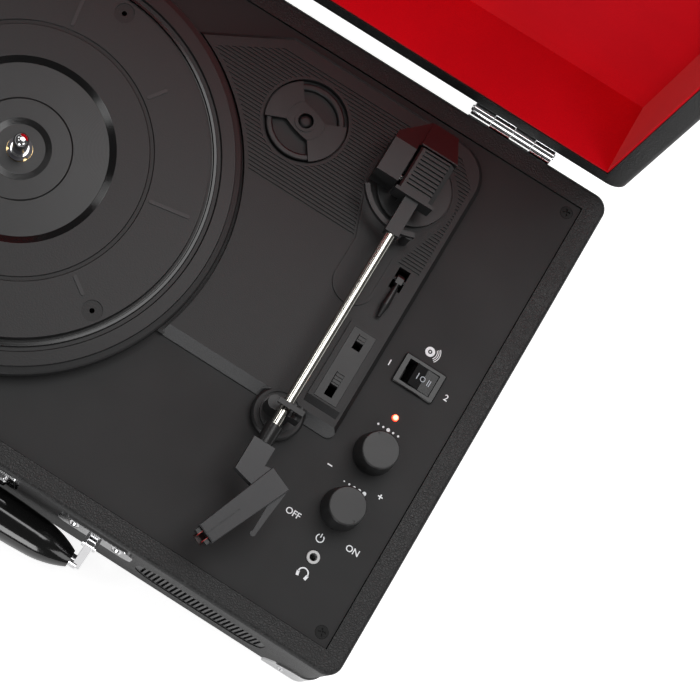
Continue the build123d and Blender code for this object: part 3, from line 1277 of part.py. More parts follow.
def circuit_board():
    z0 = BOTTOM + BOTTOM_T + STANDOFF_H
    top = z0 + PCB_T
    board = block(PCB_X - PCB_W / 2, PCB_X + PCB_W / 2, PCB_Y - PCB_D / 2, PCB_Y + PCB_D / 2, z0, top)
    board += block(PCB_X - 30, PCB_X - 12, PCB_Y + 8, PCB_Y + 12, top, top + 18)
    board += block(PCB_X + 4, PCB_X + 20, PCB_Y - 8, PCB_Y + 6, top, top + 2.4)
    for dx, dy in ((-30, -14), (-16, -14), (-2, -18)):
        board += post(PCB_X + dx, PCB_Y + dy, top, top + 11, 4)
    for dx in (26, 34):
        board += block(PCB_X + dx, PCB_X + dx + 5, PCB_Y - 20, PCB_Y - 8, top, top + 6)
    return board


# ================================================================ sockets at the rear
def socket_x(place):
    return SOCKET_X + place * SOCKET_PITCH


def jack_plate():
    plate = Pos(SOCKET_X, REAR, SOCKET_Z) * Rot(-90, 0, 0) * extrude(
        RectangleRounded(SOCKET_PLATE_W, SOCKET_PLATE_H, 3), SOCKET_PLATE_T)
    for place in (-1, 0):
        plate -= rod_y(socket_x(place), REAR - 1, REAR + 9, SOCKET_Z, RCA_R)
    return plate - rod_y(socket_x(1), REAR - 1, REAR + 9, SOCKET_Z, DC_R)


def rca_sockets():
    sockets = []
    for place in (-1, 0):
        x = socket_x(place)
        barrel = rod_y(x, REAR - 4, REAR + SOCKET_PLATE_T + RCA_L, SOCKET_Z, RCA_R)
        barrel += rod_y(x, REAR - 4, REAR - FIT, SOCKET_Z, RCA_R + 1.4)
        sockets.append(barrel - rod_y(x, REAR - 2, REAR + SOCKET_PLATE_T + RCA_L + 1, SOCKET_Z, RCA_BORE_R))
    return joined(sockets)


def dc_socket():
    x = socket_x(1)
    face = REAR + SOCKET_PLATE_T + 0.8
    socket = rod_y(x, face - DC_L - 2, face, SOCKET_Z, DC_R) + rod_y(x, face - DC_L - 2, REAR - FIT, SOCKET_Z, DC_R + 1.4)
    socket -= rod_y(x, face - DC_L, face + 1, SOCKET_Z, DC_BORE_R)
    return socket + rod_y(x, face - DC_L - 1, face - 1, SOCKET_Z, DC_PIN_R)


# ================================================================ handle
def handle_plate():
    """One end plate: two ears and the pin that the link turns on."""
    plate = Pos(HANDLE_X, FRONT, HANDLE_PLATE_Z) * Rot(90, 0, 0) * extrude(
        RectangleRounded(HANDLE_PLATE_W, HANDLE_PLATE_H, 5), HANDLE_PLATE_T)
    gap = LINK_W / 2 + 0.3
    for side in (-1, 1):
        x0, x1 = sorted((HANDLE_X + side * gap, HANDLE_X + side * (gap + HANDLE_EAR_T)))
        plate += rod_x(x0, x1, EYE_Y, HANDLE_EYE_Z, HANDLE_EYE_R)
        plate += block(x0, x1, EYE_Y, FRONT, HANDLE_EYE_Z - HANDLE_EYE_R, HANDLE_EYE_Z + HANDLE_EYE_R)
    plate += rod_x(HANDLE_X - gap - 0.5, HANDLE_X + gap + 0.5, EYE_Y, HANDLE_EYE_Z, HANDLE_PIN_R)
    for side in (-1, 1):
        x = HANDLE_X + side * HANDLE_PLATE_W * 0.29
        plate -= rod_y(x, FRONT - 9, FRONT + 1, HANDLE_PLATE_Z + 3, SCREW_R + FIT)
    return plate


def handle_screw(side):
    x = HANDLE_X + side * HANDLE_PLATE_W * 0.29
    z = HANDLE_PLATE_Z + 3
    face = FRONT - HANDLE_PLATE_T
    head = Pos(x, face, z) * Rot(90, 0, 0) * Cone(2.9, 2.0, 1.1, align=(Align.CENTER, Align.CENTER, Align.MIN))
    head -= Pos(x, face - 1.1, z) * Rot(0, 35 * side, 0) * Box(5.8, 0.9, 0.7)
    return head + rod_y(x, face, FRONT, z, SCREW_R)


def handle_link():
    """The flat link between the plate's pin and the grip, with the ferrule it carries the grip by."""
    reach = math.hypot(GRIP_Y - EYE_Y, GRIP_Z - HANDLE_EYE_Z)
    lean = math.degrees(math.atan2(GRIP_Z - HANDLE_EYE_Z, GRIP_Y - EYE_Y))
    bar = Box(LINK_W, reach, 2 * LINK_T)
    link = rod_x(-LINK_W / 2, LINK_W / 2, 0, 0, LINK_T) + Pos(0, reach / 2, 0) * bar
    link += rod_x(-LINK_W / 2, LINK_W / 2, reach, 0, LINK_T)
    link -= rod_x(-LINK_W, LINK_W, 0, 0, HANDLE_PIN_R + RUN_GAP)
    link = Pos(HANDLE_X, EYE_Y, HANDLE_EYE_Z) * Rot(lean, 0, 0) * link
    link += rod_x(GRIP_END_X, HANDLE_X, GRIP_Y, GRIP_Z, GRIP_END_R - 1.2)
    return link + rod_x(GRIP_END_X - 7, GRIP_END_X, GRIP_Y, GRIP_Z, 1.6)


def handle_grip():
    mid = GRIP_MID_R
    half = make_face([
        Line((0, 0), (0, mid)),
        ThreePointArc((0, mid), (GRIP_SHOULDER_X * 0.55, mid - 0.15), (GRIP_SHOULDER_X, mid - 0.9)),
        ThreePointArc((GRIP_SHOULDER_X, mid - 0.9), (GRIP_SHOULDER_X + 12.5, mid - 3.0), (GRIP_END_X, GRIP_END_R)),
        Line((GRIP_END_X, GRIP_END_R), (GRIP_END_X, 0)),
        Line((GRIP_END_X, 0), (0, 0)),
    ])
    right = revolve(half, Axis.X)
    grip = right + mirror(right, Plane.YZ)
    for side in (-1, 1):
        x0, x1 = sorted((side * (GRIP_END_X - 7), side * (GRIP_END_X + 1)))
        grip -= rod_x(x0, x1, 0, 0, 1.6)
    return Pos(0, GRIP_Y, GRIP_Z) * grip


# ================================================================ latch
def latch_plate():
    """The lock's base plate, its body and the staple that the hasp drops over."""
    plate = Pos(0, FRONT, LATCH_MIDDLE) * Rot(90, 0, 0) * extrude(RectangleRounded(LATCH_W, LATCH_H, 3), LATCH_T)
    body = Pos(0, FRONT, LATCH_MIDDLE) * Rot(90, 0, 0) * extrude(
        RectangleRounded(LATCH_BODY_W, LATCH_BODY_H, 2), LATCH_BODY_OUT)
    body = chamfer(body.faces().sort_by(Axis.Y)[0].edges(), 0.6)
    plate += body
    plate += block(-STAPLE_W / 2, STAPLE_W / 2, FRONT - LATCH_BODY_OUT - STAPLE_OUT, FRONT - 1,
                   STAPLE_Z - STAPLE_H / 2, STAPLE_Z + STAPLE_H / 2)
    slot = block(-BUTTON_W / 2 - FIT, BUTTON_W / 2 + BUTTON_TRAVEL + FIT, FRONT - LATCH_BODY_OUT - 1, FRONT - LATCH_T,
                 BUTTON_Z - BUTTON_H / 2 - FIT, BUTTON_Z + BUTTON_H / 2 + FIT)
    return plate - slot


def latch_button():
    z0 = BUTTON_Z - BUTTON_H / 2
    z1 = BUTTON_Z + BUTTON_H / 2
    button = block(-BUTTON_W / 2, BUTTON_W / 2, FRONT - LATCH_BODY_OUT, FRONT - LATCH_T - FIT, z0, z1)
    grip = block(-BUTTON_W / 2 + 0.8, BUTTON_W / 2 - 0.8, FRONT - LATCH_BODY_OUT - BUTTON_OUT, FRONT - LATCH_BODY_OUT,
                 z0 + 0.5, z1 - 0.5)
    return button + grip


def hasp_plate():
    """The hasp's fixed half, on the lid, with the outer two knuckles."""
    plate = Pos(0, FRONT, HASP_Z + 1) * Rot(90, 0, 0) * extrude(RectangleRounded(HASP_W, HASP_PLATE_H, 2), HASP_T)
    third = HASP_W / 3
    for side in (-1, 1):
        x0, x1 = sorted((side * (third / 2 + 0.2), side * HASP_W / 2))
        plate += rod_x(x0, x1, HASP_Y, HASP_Z, HASP_KNUCKLE_R)
        plate += block(x0, x1, HASP_Y, FRONT - HASP_T / 2, HASP_Z - HASP_KNUCKLE_R * 0.6, HASP_Z + HASP_KNUCKLE_R * 0.6)
    plate -= rod_x(-third / 2 - 0.2, third / 2 + 0.2, HASP_Y, HASP_Z, HASP_KNUCKLE_R + 0.4)
    return plate + rod_x(-third / 2 - 1, third / 2 + 1, HASP_Y, HASP_Z, HASP_PIN_R)


def latch_hasp():
    """The flap, drawn closed over the staple and then folded up against the lid."""
    third = HASP_W / 3
    inner = FRONT - LATCH_BODY_OUT - HASP_GAP
    flap = rod_x(-third / 2, third / 2, HASP_Y, HASP_Z, HASP_KNUCKLE_R)
    flap += block(-third / 2, third / 2, inner - HASP_T, inner, HASP_Z - 4, HASP_Z)
    flap += block(-HASP_W / 2, HASP_W / 2, inner - HASP_T, inner, HASP_Z - HASP_L, HASP_Z - HASP_KNUCKLE_R - 0.9)
    window = block(-STAPLE_W / 2 - 0.6, STAPLE_W / 2 + 0.6, inner - 9, inner + 9,
                   STAPLE_Z - STAPLE_H / 2 - 0.6, STAPLE_Z + STAPLE_H / 2 + 0.6)
    flap -= window
    flap -= rod_x(-HASP_W, HASP_W, HASP_Y, HASP_Z, HASP_PIN_R + RUN_GAP)
    return turned_x(flap, HASP_Y, HASP_Z, -HASP_FOLD_DEG)


def turned_x(shape, y, z, degrees):
    """A shape turned about a line along X."""
    return Pos(0, y, z) * Rot(degrees, 0, 0) * Pos(0, -y, -z) * shape


# ================================================================ hinges
def knuckle(index):
    """One knuckle's X range on the right-hand hinge."""
    x0 = HINGE_X - HINGE_KNUCKLES * HINGE_KNUCKLE / 2 + index * HINGE_KNUCKLE
    return x0 + HINGE_PLAY / 2, x0 + HINGE_KNUCKLE - HINGE_PLAY / 2


def hinge_leaf(first, side):
    """Half of the right hinge: side is 1 for the lid's leaf, drawn closed, and -1 for the base's."""
    half = HINGE_KNUCKLES * HINGE_KNUCKLE / 2
    z0, z1 = sorted((HINGE_Z + side * (HINGE_R + 0.6), HINGE_Z + side * LEAF_H))
    leaf = block(HINGE_X - half, HINGE_X + half, REAR, REAR + LEAF_T, z0, z1)
    for index in range(first, HINGE_KNUCKLES, 2):
        x0, x1 = knuckle(index)
        leaf += rod_x(x0, x1, HINGE_Y, HINGE_Z, HINGE_R)
        z0, z1 = sorted((HINGE_Z, HINGE_Z + side * (HINGE_R + 1.6)))
        leaf += block(x0, x1, REAR, REAR + LEAF_T, z0, z1)
        leaf += block(x0, x1, REAR + 0.1, HINGE_Y, *sorted((HINGE_Z + side * 0.8, HINGE_Z + side * HINGE_R * 0.75)))
    for x in (HINGE_X - half * 0.6, HINGE_X + half * 0.6):
        leaf -= rod_y(x, REAR - 1, REAR + 9, HINGE_Z + side * (LEAF_H - 5), SCREW_R + FIT)
    return leaf - rod_x(HINGE_X - half - 1, HINGE_X + half + 1, HINGE_Y, HINGE_Z, HINGE_PIN_R + RUN_GAP)


def hinge_pin():
    half = HINGE_KNUCKLES * HINGE_KNUCKLE / 2
    return rod_x(HINGE_X - half - 0.6, HINGE_X + half + 0.6, HINGE_Y, HINGE_Z, HINGE_PIN_R)


# ================================================================ lid
def lid_shell():
    z0 = LID_GAP
    z1 = LID_GAP + LID_H
    lid = slab(CASE_W, CASE_D, CORNER_R, z0, z1)
    lid = fillet(lid.faces().sort_by(Axis.Z)[-1].edges(), LID_EDGE_R)
    lid = fillet(lid.faces().sort_by(Axis.Z)[0].edges(), WRAP_R)
    inside_x = CASE_W / 2 - WALL
    inside_y = CASE_D / 2 - WALL
    return lid - block(-inside_x, inside_x, -inside_y, inside_y, z0 - 1, z1 - LID_TOP)


def lid_lining():
    """The velvet lining: a thin tray pressed into the lid."""
    z0 = LID_GAP + 0.6
    z1 = LID_GAP + LID_H - LID_TOP - 0.05
    half_x = CASE_W / 2 - WALL - 0.05
    half_y = CASE_D / 2 - WALL - 0.05
    tray = block(-half_x, half_x, -half_y, half_y, z0, z1)
    return tray - block(-half_x + LINING_T, half_x - LINING_T, -half_y + LINING_T, half_y - LINING_T,
                        z0 - 1, z1 - LINING_T)


# ================================================================ the whole player
def base_pieces():
    grille = place_grille(speaker_grille())
    return {
        "case_base": case_base(),
        "bottom_board": bottom_board(),
        "feet": feet(),
        "corner_caps": corner_caps(),
        "motor_board": motor_board(),
        "board_screws": board_screws(),
        "deck_chassis": deck_chassis(),
        "spindle": spindle(),
        "spindle_clip": spindle_clip(),
        "thrust_washer": thrust_washer(),
        "drive_belt": drive_belt(),
        "motor": motor(),
        "motor_screws": motor_screws(),
        "arm_rest": arm_rest(),
        "switch_plate": switch_plate(),
        "rocker_bezel": rocker_bezel(),
        "potentiometers": joined([potentiometers(), pot_nuts()]),
        "led_lens": led_lens(),
        "headphone_jack": headphone_jack(),
        "circuit_board": circuit_board(),
        "speaker_grilles": joined(both_sides(grille)),
        "speakers": joined(both_sides(speaker())),
        "speaker_cones": joined(both_sides(speaker_cone())),
        "socket_plate": jack_plate(),
        "rear_sockets": joined([rca_sockets(), dc_socket()]),
        "handle_plates": joined(both_sides(handle_plate())),
        "handle_screws": joined(both_sides(handle_screw(-1)) + both_sides(handle_screw(1))),
        "latch_plate": latch_plate(),
        "hinge_base_leaves": joined(both_sides(hinge_leaf(1, -1)) + both_sides(hinge_pin())),
    }


def moving_pieces():
    return {
        "platter": platter(),
        "platter_bush": platter_bush(),
        "motor_pulley": motor_pulley(),
        "record_adapter": record_adapter(),
        "tonearm_yoke": tonearm_yoke(),
        "tilt_pin": tilt_pin(),
        "tonearm_block": tonearm_block(),
        "tonearm_tube": tonearm_tube(),
        "tube_collar": tube_collar(),
        "headshell_neck": headshell_neck(),
        "headshell": headshell(),
        "cartridge": cartridge(),
        "stylus": stylus(),
        "finger_lift": finger_lift(),
        "cue_lift": cue_lift(),
        "cue_lever": cue_lever(),
        "cue_grip": cue_grip(),
        "arm_clip": arm_clip(),
        "speed_slider": speed_slider(),
        "autostop_slider": autostop_slider(),
        "rocker_cap": rocker_cap(),
        "pitch_knob": knob(PITCH_Y, PITCH_DOT_DEG),
        "volume_knob": knob(VOLUME_Y, VOLUME_DOT_DEG),
        "handle_grip": handle_grip(),
        "handle_links": joined(both_sides(handle_link())),
        "latch_button": latch_button(),
    }


def lid_pieces():
    """Drawn closed, then swung open about the hinge line."""
    closed = {
        "lid_shell": lid_shell(),
        "lid_lining": lid_lining(),
        "hinge_lid_leaves": joined(both_sides(hinge_leaf(0, 1))),
        "hasp_plate": hasp_plate(),
        "latch_hasp": latch_hasp(),
    }
    return {name: turned_x(shape, HINGE_Y, HINGE_Z, -LID_OPEN_DEG) for name, shape in closed.items()}


def main():
    pieces = base_pieces() | moving_pieces() | lid_pieces()
    space = Compound(children=[s for shape in pieces.values() for s in shape.solids()]).bounding_box()
    middle = (space.min + space.max) / 2
    stand = Pos(0, -middle.Y, -space.min.Z)
    print(f"case frame moved by Y {-middle.Y:.3f}, Z {-space.min.Z:.3f}; middle X {middle.X:.4f}; size {space.size}")
    os.makedirs("parts", exist_ok=True)
    for name, shape in pieces.items():
        export_step(stand * shape, f"parts/{name}.step")


main()
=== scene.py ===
"""Looks for the suitcase record player: materials, printing, lining, small fittings and the studio."""

import math

import bmesh
import bpy
from bpy.props import FloatProperty, FloatVectorProperty, PointerProperty
from mathutils import Matrix, Vector


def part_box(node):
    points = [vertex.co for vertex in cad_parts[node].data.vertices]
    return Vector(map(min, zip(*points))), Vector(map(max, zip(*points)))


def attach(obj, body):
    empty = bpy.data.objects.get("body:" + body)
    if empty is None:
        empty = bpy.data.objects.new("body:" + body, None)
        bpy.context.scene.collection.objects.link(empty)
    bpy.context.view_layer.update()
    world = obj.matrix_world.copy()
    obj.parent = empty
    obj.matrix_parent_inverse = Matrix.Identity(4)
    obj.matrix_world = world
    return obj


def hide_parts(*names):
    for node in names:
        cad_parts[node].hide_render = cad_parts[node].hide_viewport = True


bl_info = {
    "name": "Suitcase Record Player Finish",
    "version": (1, 0, 0),
    "blender": (4, 5, 0),
    "location": "View3D > Sidebar > Record Player",
    "description": "Materials, printing, lining and studio for the suitcase record player",
    "category": "Object",
}

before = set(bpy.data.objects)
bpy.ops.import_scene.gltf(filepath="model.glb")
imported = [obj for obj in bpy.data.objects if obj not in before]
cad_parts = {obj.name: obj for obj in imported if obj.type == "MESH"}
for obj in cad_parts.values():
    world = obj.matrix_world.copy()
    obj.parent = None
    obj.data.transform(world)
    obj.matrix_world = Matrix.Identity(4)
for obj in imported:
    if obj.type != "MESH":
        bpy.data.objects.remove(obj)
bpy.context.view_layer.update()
MM = 0.001


# ------------------------------------------------------------ settings
def colour(name, description, default):
    """A colour the user can change."""
    return FloatVectorProperty(name=name, description=description, subtype="COLOR", size=3, min=0, max=1,
                               default=default)


def length(name, description, default):
    """A size the user can change, in metres."""
    return FloatProperty(name=name, description=description, subtype="DISTANCE", unit="LENGTH", min=0,
                         precision=5, default=default)


def share(name, description, default):
    """A value from 0 to 1 the user can change."""
    return FloatProperty(name=name, description=description, subtype="FACTOR", min=0, max=1, default=default)


class CaseFinish(bpy.types.PropertyGroup):
    """Leather cloth and velvet of the case."""

    leather: colour("Leather", "Colour of the leather cloth", (0.014, 0.014, 0.0145))
    grain: length("Grain", "Size of one pebble of the leather grain", 0.0013)
    roughness: share("Leather roughness", "How dull the leather is", 0.5)
    velvet: colour("Velvet", "Colour of the lid's lining", (0.86, 0.002, 0.012))
    puff: length("Padding", "How far the lining's panel swells", 0.0012)
    grip: colour("Grip", "Colour of the handle's grip", (0.006, 0.006, 0.006))


class DeckFinish(bpy.types.PropertyGroup):
    """Board, moulding and platter."""

    board: colour("Board", "Colour of the motor board", (0.0105, 0.0105, 0.011))
    moulding: colour("Moulding", "Colour of the moulded deck", (0.010, 0.010, 0.0105))
    mat: colour("Platter", "Colour of the platter's textured surface", (0.013, 0.013, 0.0135))
    texture: length("Texture", "Grain of the moulded texture", 0.0004)


class PrintFinish(bpy.types.PropertyGroup):
    """White printing on the board."""

    ink: colour("Ink", "Colour of the printing", (0.86, 0.88, 0.9))
    height: length("Letter height", "Height of the capital letters", 0.0030)
    film: length("Ink film", "Thickness of the ink", 0.00005)


class MetalFinish(bpy.types.PropertyGroup):
    """Plated fittings."""

    chrome: colour("Chrome", "Colour of the plating", (0.82, 0.82, 0.83))
    tube: colour("Arm tube", "Colour of the tonearm's tube", (0.74, 0.72, 0.66))
    roughness: share("Polish", "Roughness of the plating", 0.13)


class StudioSetup(bpy.types.PropertyGroup):
    """Camera, lamps and floor."""

    floor: colour("Floor", "Colour of the floor", (0.9, 0.9, 0.9))
    key: FloatProperty(name="Key lamp", description="Power of the large lamp", subtype="POWER", default=9.0)
    fill: FloatProperty(name="Fill lamp", description="Power of the side lamp", subtype="POWER", default=3.0)
    front: FloatProperty(name="Front lamp", description="Power of the low front lamp", subtype="POWER", default=5.0)
    rings: FloatProperty(name="Ring lamps", description="Power of each small lamp", subtype="POWER", default=0.7)
    lens: FloatProperty(name="Lens", description="Focal length", subtype="DISTANCE_CAMERA", default=116.14)


# ------------------------------------------------------------ node helpers
def add(tree, kind, **inputs):
    """One shader node with the given input values, or links where a value is a socket."""
    node = tree.nodes.new(kind)
    for key, value in inputs.items():
        name = key.replace("_", " ")
        socket = node.inputs[name] if name in node.inputs else node.inputs[int(key[1:])]
        if isinstance(value, bpy.types.NodeSocket):
            tree.links.new(value, socket)
        else:
            socket.default_value = value
    return node


def maths(tree, operation, a, b=0.0, clamp=False):
    """The result of one Math node."""
    node = add(tree, "ShaderNodeMath", i0=a, i1=b)
    node.operation = operation
    node.use_clamp = clamp
    return node.outputs[0]


def blend_colour(tree, factor, a, b):
    """One colour where the factor is 0 and another where it is 1."""
    node = tree.nodes.new("ShaderNodeMix")
    node.data_type = "RGBA"
    for index, value in ((0, factor), (6, a), (7, b)):
        if isinstance(value, bpy.types.NodeSocket):
            tree.links.new(value, node.inputs[index])
        else:
            node.inputs[index].default_value = value
    return node.outputs[2]


def stretch(tree, value, low, high, out_low, out_high):
    """A value moved from one range to another, held at the ends."""
    node = add(tree, "ShaderNodeMapRange", Value=value)
    node.clamp = True
    for name, number in (("From Min", low), ("From Max", high), ("To Min", out_low), ("To Max", out_high)):
        node.inputs[name].default_value = number
    return node.outputs[0]


def rgba(rgb, scale=1.0):
    """A colour with full alpha."""
    return (rgb[0] * scale, rgb[1] * scale, rgb[2] * scale, 1.0)


def new_group(name, inputs, outputs):
    """An empty node group with named sockets; returns the group, its input node and its output node."""
    group = bpy.data.node_groups.new(name, "ShaderNodeTree")
    for label, kind, default in inputs:
        socket = group.interface.new_socket(name=label, in_out="INPUT", socket_type=kind)
        if default is not None:
            socket.default_value = default
    for label, kind in outputs:
        group.interface.new_socket(name=label, in_out="OUTPUT", socket_type=kind)
    return group, group.nodes.new("NodeGroupInput"), group.nodes.new("NodeGroupOutput")


VECTOR = "NodeSocketVector"
NUMBER = "NodeSocketFloat"


def leather_group():
    """Pebbled leather: a height, a mask of the creases between pebbles and a slow variation."""
    group, given, result = new_group(
        "Leather Grain",
        [("Vector", VECTOR, None), ("Grain", NUMBER, 0.0013)],
        [("Height", NUMBER), ("Crease", NUMBER), ("Patch", NUMBER)],
    )
    per_metre = maths(group, "DIVIDE", 1.0, given.outputs["Grain"])
    bend = add(group, "ShaderNodeTexNoise", Vector=given.outputs["Vector"],
               Scale=maths(group, "MULTIPLY", per_metre, 0.6), Detail=2.0)
    push = add(group, "ShaderNodeVectorMath", i0=bend.outputs["Color"])
    push.operation = "SCALE"
    group.links.new(maths(group, "MULTIPLY", given.outputs["Grain"], 1.5), push.inputs["Scale"])
    moved = add(group, "ShaderNodeVectorMath", i0=given.outputs["Vector"], i1=push.outputs[0])
    cells = add(group, "ShaderNodeTexVoronoi", Vector=moved.outputs[0], Scale=per_metre)
    cells.feature = "DISTANCE_TO_EDGE"
    crease = stretch(group, cells.outputs["Distance"], 0.0, 0.16, 1.0, 0.0)
    pores = add(group, "ShaderNodeTexNoise", Vector=given.outputs["Vector"],
                Scale=maths(group, "MULTIPLY", per_metre, 3.0), Detail=3.0)
    dome = stretch(group, cells.outputs["Distance"], 0.0, 0.35, 0.0, 1.0)
    height = maths(group, "ADD", dome, maths(group, "MULTIPLY", pores.outputs["Fac"], 0.3))
    patch = add(group, "ShaderNodeTexNoise", Vector=given.outputs["Vector"], Scale=35.0, Detail=2.0)
    group.links.new(height, result.inputs["Height"])
    group.links.new(crease, result.inputs["Crease"])
    group.links.new(patch.outputs["Fac"], result.inputs["Patch"])
    return group


def texture_group():
    """Spark-eroded mould texture: a fine height and a scatter of tiny light specks."""
    group, given, result = new_group(
        "Moulded Texture",
        [("Vector", VECTOR, None), ("Grain", NUMBER, 0.0004)],
        [("Height", NUMBER), ("Speck", NUMBER), ("Patch", NUMBER)],
    )
    per_metre = maths(group, "DIVIDE", 1.0, given.outputs["Grain"])
    fine = add(group, "ShaderNodeTexNoise", Vector=given.outputs["Vector"], Scale=per_metre, Detail=2.0)
    spots = add(group, "ShaderNodeTexVoronoi", Vector=given.outputs["Vector"],
                Scale=maths(group, "MULTIPLY", per_metre, 0.45))
    speck = stretch(group, spots.outputs["Distance"], 0.02, 0.2, 1.0, 0.0)
    patch = add(group, "ShaderNodeTexNoise", Vector=given.outputs["Vector"], Scale=18.0, Detail=3.0)
    group.links.new(fine.outputs["Fac"], result.inputs["Height"])
    group.links.new(speck, result.inputs["Speck"])
    group.links.new(patch.outputs["Fac"], result.inputs["Patch"])
    return group


def handling_group():
    """Smudges and hairline scratches from handling."""
    group, given, result = new_group(
        "Handling Marks",
        [("Vector", VECTOR, None), ("Size", NUMBER, 0.012)],
        [("Smudge", NUMBER), ("Scratch", NUMBER)],
    )
    per_metre = maths(group, "DIVIDE", 1.0, given.outputs["Size"])
    smudge = add(group, "ShaderNodeTexNoise", Vector=given.outputs["Vector"], Scale=per_metre, Detail=4.0)
    skew = add(group, "ShaderNodeMapping", Vector=given.outputs["Vector"])
    skew.inputs["Rotation"].default_value = (0.3, 0.5, 0.6)
    skew.inputs["Scale"].default_value = (1.0, 14.0, 14.0)
    lines = add(group, "ShaderNodeTexNoise", Vector=skew.outputs[0], Scale=maths(group, "MULTIPLY", per_metre, 4.0),
                Detail=5.0)
    group.links.new(smudge.outputs["Fac"], result.inputs["Smudge"])
    group.links.new(stretch(group, lines.outputs["Fac"], 0.6, 0.72, 0.0, 1.0), result.inputs["Scratch"])
    return group


def shared(name, build):
    """A node group, built the first time it is asked for."""
    return bpy.data.node_groups.get(name) or build()


def place(tree, group, vector, **values):
    """A shared group put in a material with its own values."""
    node = tree.nodes.new("ShaderNodeGroup")
    node.node_tree = group
    tree.links.new(vector, node.inputs["Vector"])
    for name, value in values.items():
        node.inputs[name].default_value = value
    return node


def new_material(name, **surface):
    """A material with its shader and the object's own coordinates."""
    material = bpy.data.materials.new(name)
    material.use_nodes = True
    tree = material.node_tree
    shader = tree.nodes["Principled BSDF"]
    for key, value in surface.items():
        shader.inputs[key.replace("_", " ")].default_value = value
    where = tree.nodes.new("ShaderNodeTexCoord").outputs["Object"]
    return material, tree, shader, where


def bump(tree, shader, height, strength, distance):
    """Surface relief from a height."""
    node = add(tree, "ShaderNodeBump", Height=height, Strength=strength, Distance=distance)
    tree.links.new(node.outputs[0], shader.inputs["Normal"])


# ------------------------------------------------------------ materials
def leather_material(finish):
    """Black pebbled leather cloth: slightly paler tops, and painted shade darkening the creases between pebbles."""
    material, tree, shader, where = new_material("leather cloth")
    grain = place(tree, shared("Leather Grain", leather_group), where, Grain=finish.grain)
    # painted shade: the creases between pebbles are darkened to 0.35 of the leather colour
    tone = blend_colour(tree, grain.outputs["Crease"], rgba(finish.leather), rgba(finish.leather, 0.35))
    tree.links.new(tone, shader.inputs["Base Color"])
    dull = maths(tree, "ADD", finish.roughness - 0.08, maths(tree, "MULTIPLY", grain.outputs["Patch"], 0.16))
    tree.links.new(dull, shader.inputs["Roughness"])
    bump(tree, shader, grain.outputs["Height"], 0.5, 0.00022)
    return material


def textured_plastic(name, tone, grain_size, roughness, relief, speck_gain):
    """Fine textured moulding or laminate."""
    material, tree, shader, where = new_material(name)
    grain = place(tree, shared("Moulded Texture", texture_group), where, Grain=grain_size)
    marks = place(tree, shared("Handling Marks", handling_group), where, Size=0.03)
    base = blend_colour(tree, grain.outputs["Patch"], rgba(tone, 0.9), rgba(tone, 1.1))
    speck = maths(tree, "MULTIPLY", grain.outputs["Speck"], 0.35)
    tree.links.new(blend_colour(tree, speck, base, rgba(tone, speck_gain)), shader.inputs["Base Color"])
    dull = maths(tree, "ADD", roughness - 0.06, maths(tree, "MULTIPLY", marks.outputs["Smudge"], 0.12))
    tree.links.new(dull, shader.inputs["Roughness"])
    bump(tree, shader, grain.outputs["Height"], relief, 0.0001)
    return material


def plain_plastic(name, tone, roughness, coat=0.0):
    """Smooth plastic with faint handling marks."""
    material, tree, shader, where = new_material(name, Coat_Weight=coat, Coat_Roughness=0.08)
    marks = place(tree, shared("Handling Marks", handling_group), where, Size=0.015)
    grain = place(tree, shared("Moulded Texture", texture_group), where, Grain=0.0003)
    base = blend_colour(tree, marks.outputs["Smudge"], rgba(tone, 0.85), rgba(tone, 1.15))
    tree.links.new(base, shader.inputs["Base Color"])
    dull = maths(tree, "ADD", roughness - 0.04, maths(tree, "MULTIPLY", marks.outputs["Smudge"], 0.08))
    tree.links.new(maths(tree, "ADD", dull, maths(tree, "MULTIPLY", marks.outputs["Scratch"], 0.05)),
                   shader.inputs["Roughness"])
    bump(tree, shader, grain.outputs["Height"], 0.08, 0.00005)
    return material


def metal(name, tone, roughness):
    """Plated or bare metal with smudges and hairlines."""
    material, tree, shader, where = new_material(name, Metallic=1.0)
    marks = place(tree, shared("Handling Marks", handling_group), where, Size=0.008)
    base = blend_colour(tree, marks.outputs["Smudge"], rgba(tone, 0.9), rgba(tone, 1.04))
    tree.links.new(base, shader.inputs["Base Color"])
    dull = maths(tree, "ADD", roughness - 0.04, maths(tree, "MULTIPLY", marks.outputs["Smudge"], 0.1))
    tree.links.new(maths(tree, "ADD", dull, maths(tree, "MULTIPLY", marks.outputs["Scratch"], 0.08)),
                   shader.inputs["Roughness"])
    bump(tree, shader, marks.outputs["Scratch"], 0.05, 0.00003)
    return material


def finish_node(node, material):
    """Give one CAD node its material."""
    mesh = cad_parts[node].data
    mesh.materials.clear()
    mesh.materials.append(material)


def finish_nodes(nodes, material):
    """Give several CAD nodes the same material."""
    for node in nodes:
        finish_node(node, material)


# ------------------------------------------------------------ mesh helpers
def centre_of(node):
    """The middle of a CAD node's box."""
    low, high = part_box(node)
    return (low + high) / 2


def new_piece(name, mesh, body, material):
    """A finished mesh that rides on a body."""
    piece = bpy.data.objects.new(name, mesh)
    bpy.context.scene.collection.objects.link(piece)
    mesh.materials.append(material)
    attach(piece, body)
    return piece


def mesh_of(name, bm):
    """A mesh made from a bmesh."""
    bmesh.ops.recalc_face_normals(bm, faces=bm.faces)
    mesh = bpy.data.meshes.new(name)
    bm.to_mesh(mesh)
    bm.free()
    return mesh


def outline_prism(bm, points, low, high):
    """A closed prism over a flat outline."""
    bottom = [bm.verts.new((x, y, low)) for x, y in points]
    top = [bm.verts.new((x, y, high)) for x, y in points]
    bm.faces.new(bottom[::-1])
    bm.faces.new(top)
    count = len(points)
    for k in range(count):
        n = (k + 1) % count
        bm.faces.new((bottom[k], bottom[n], top[n], top[k]))


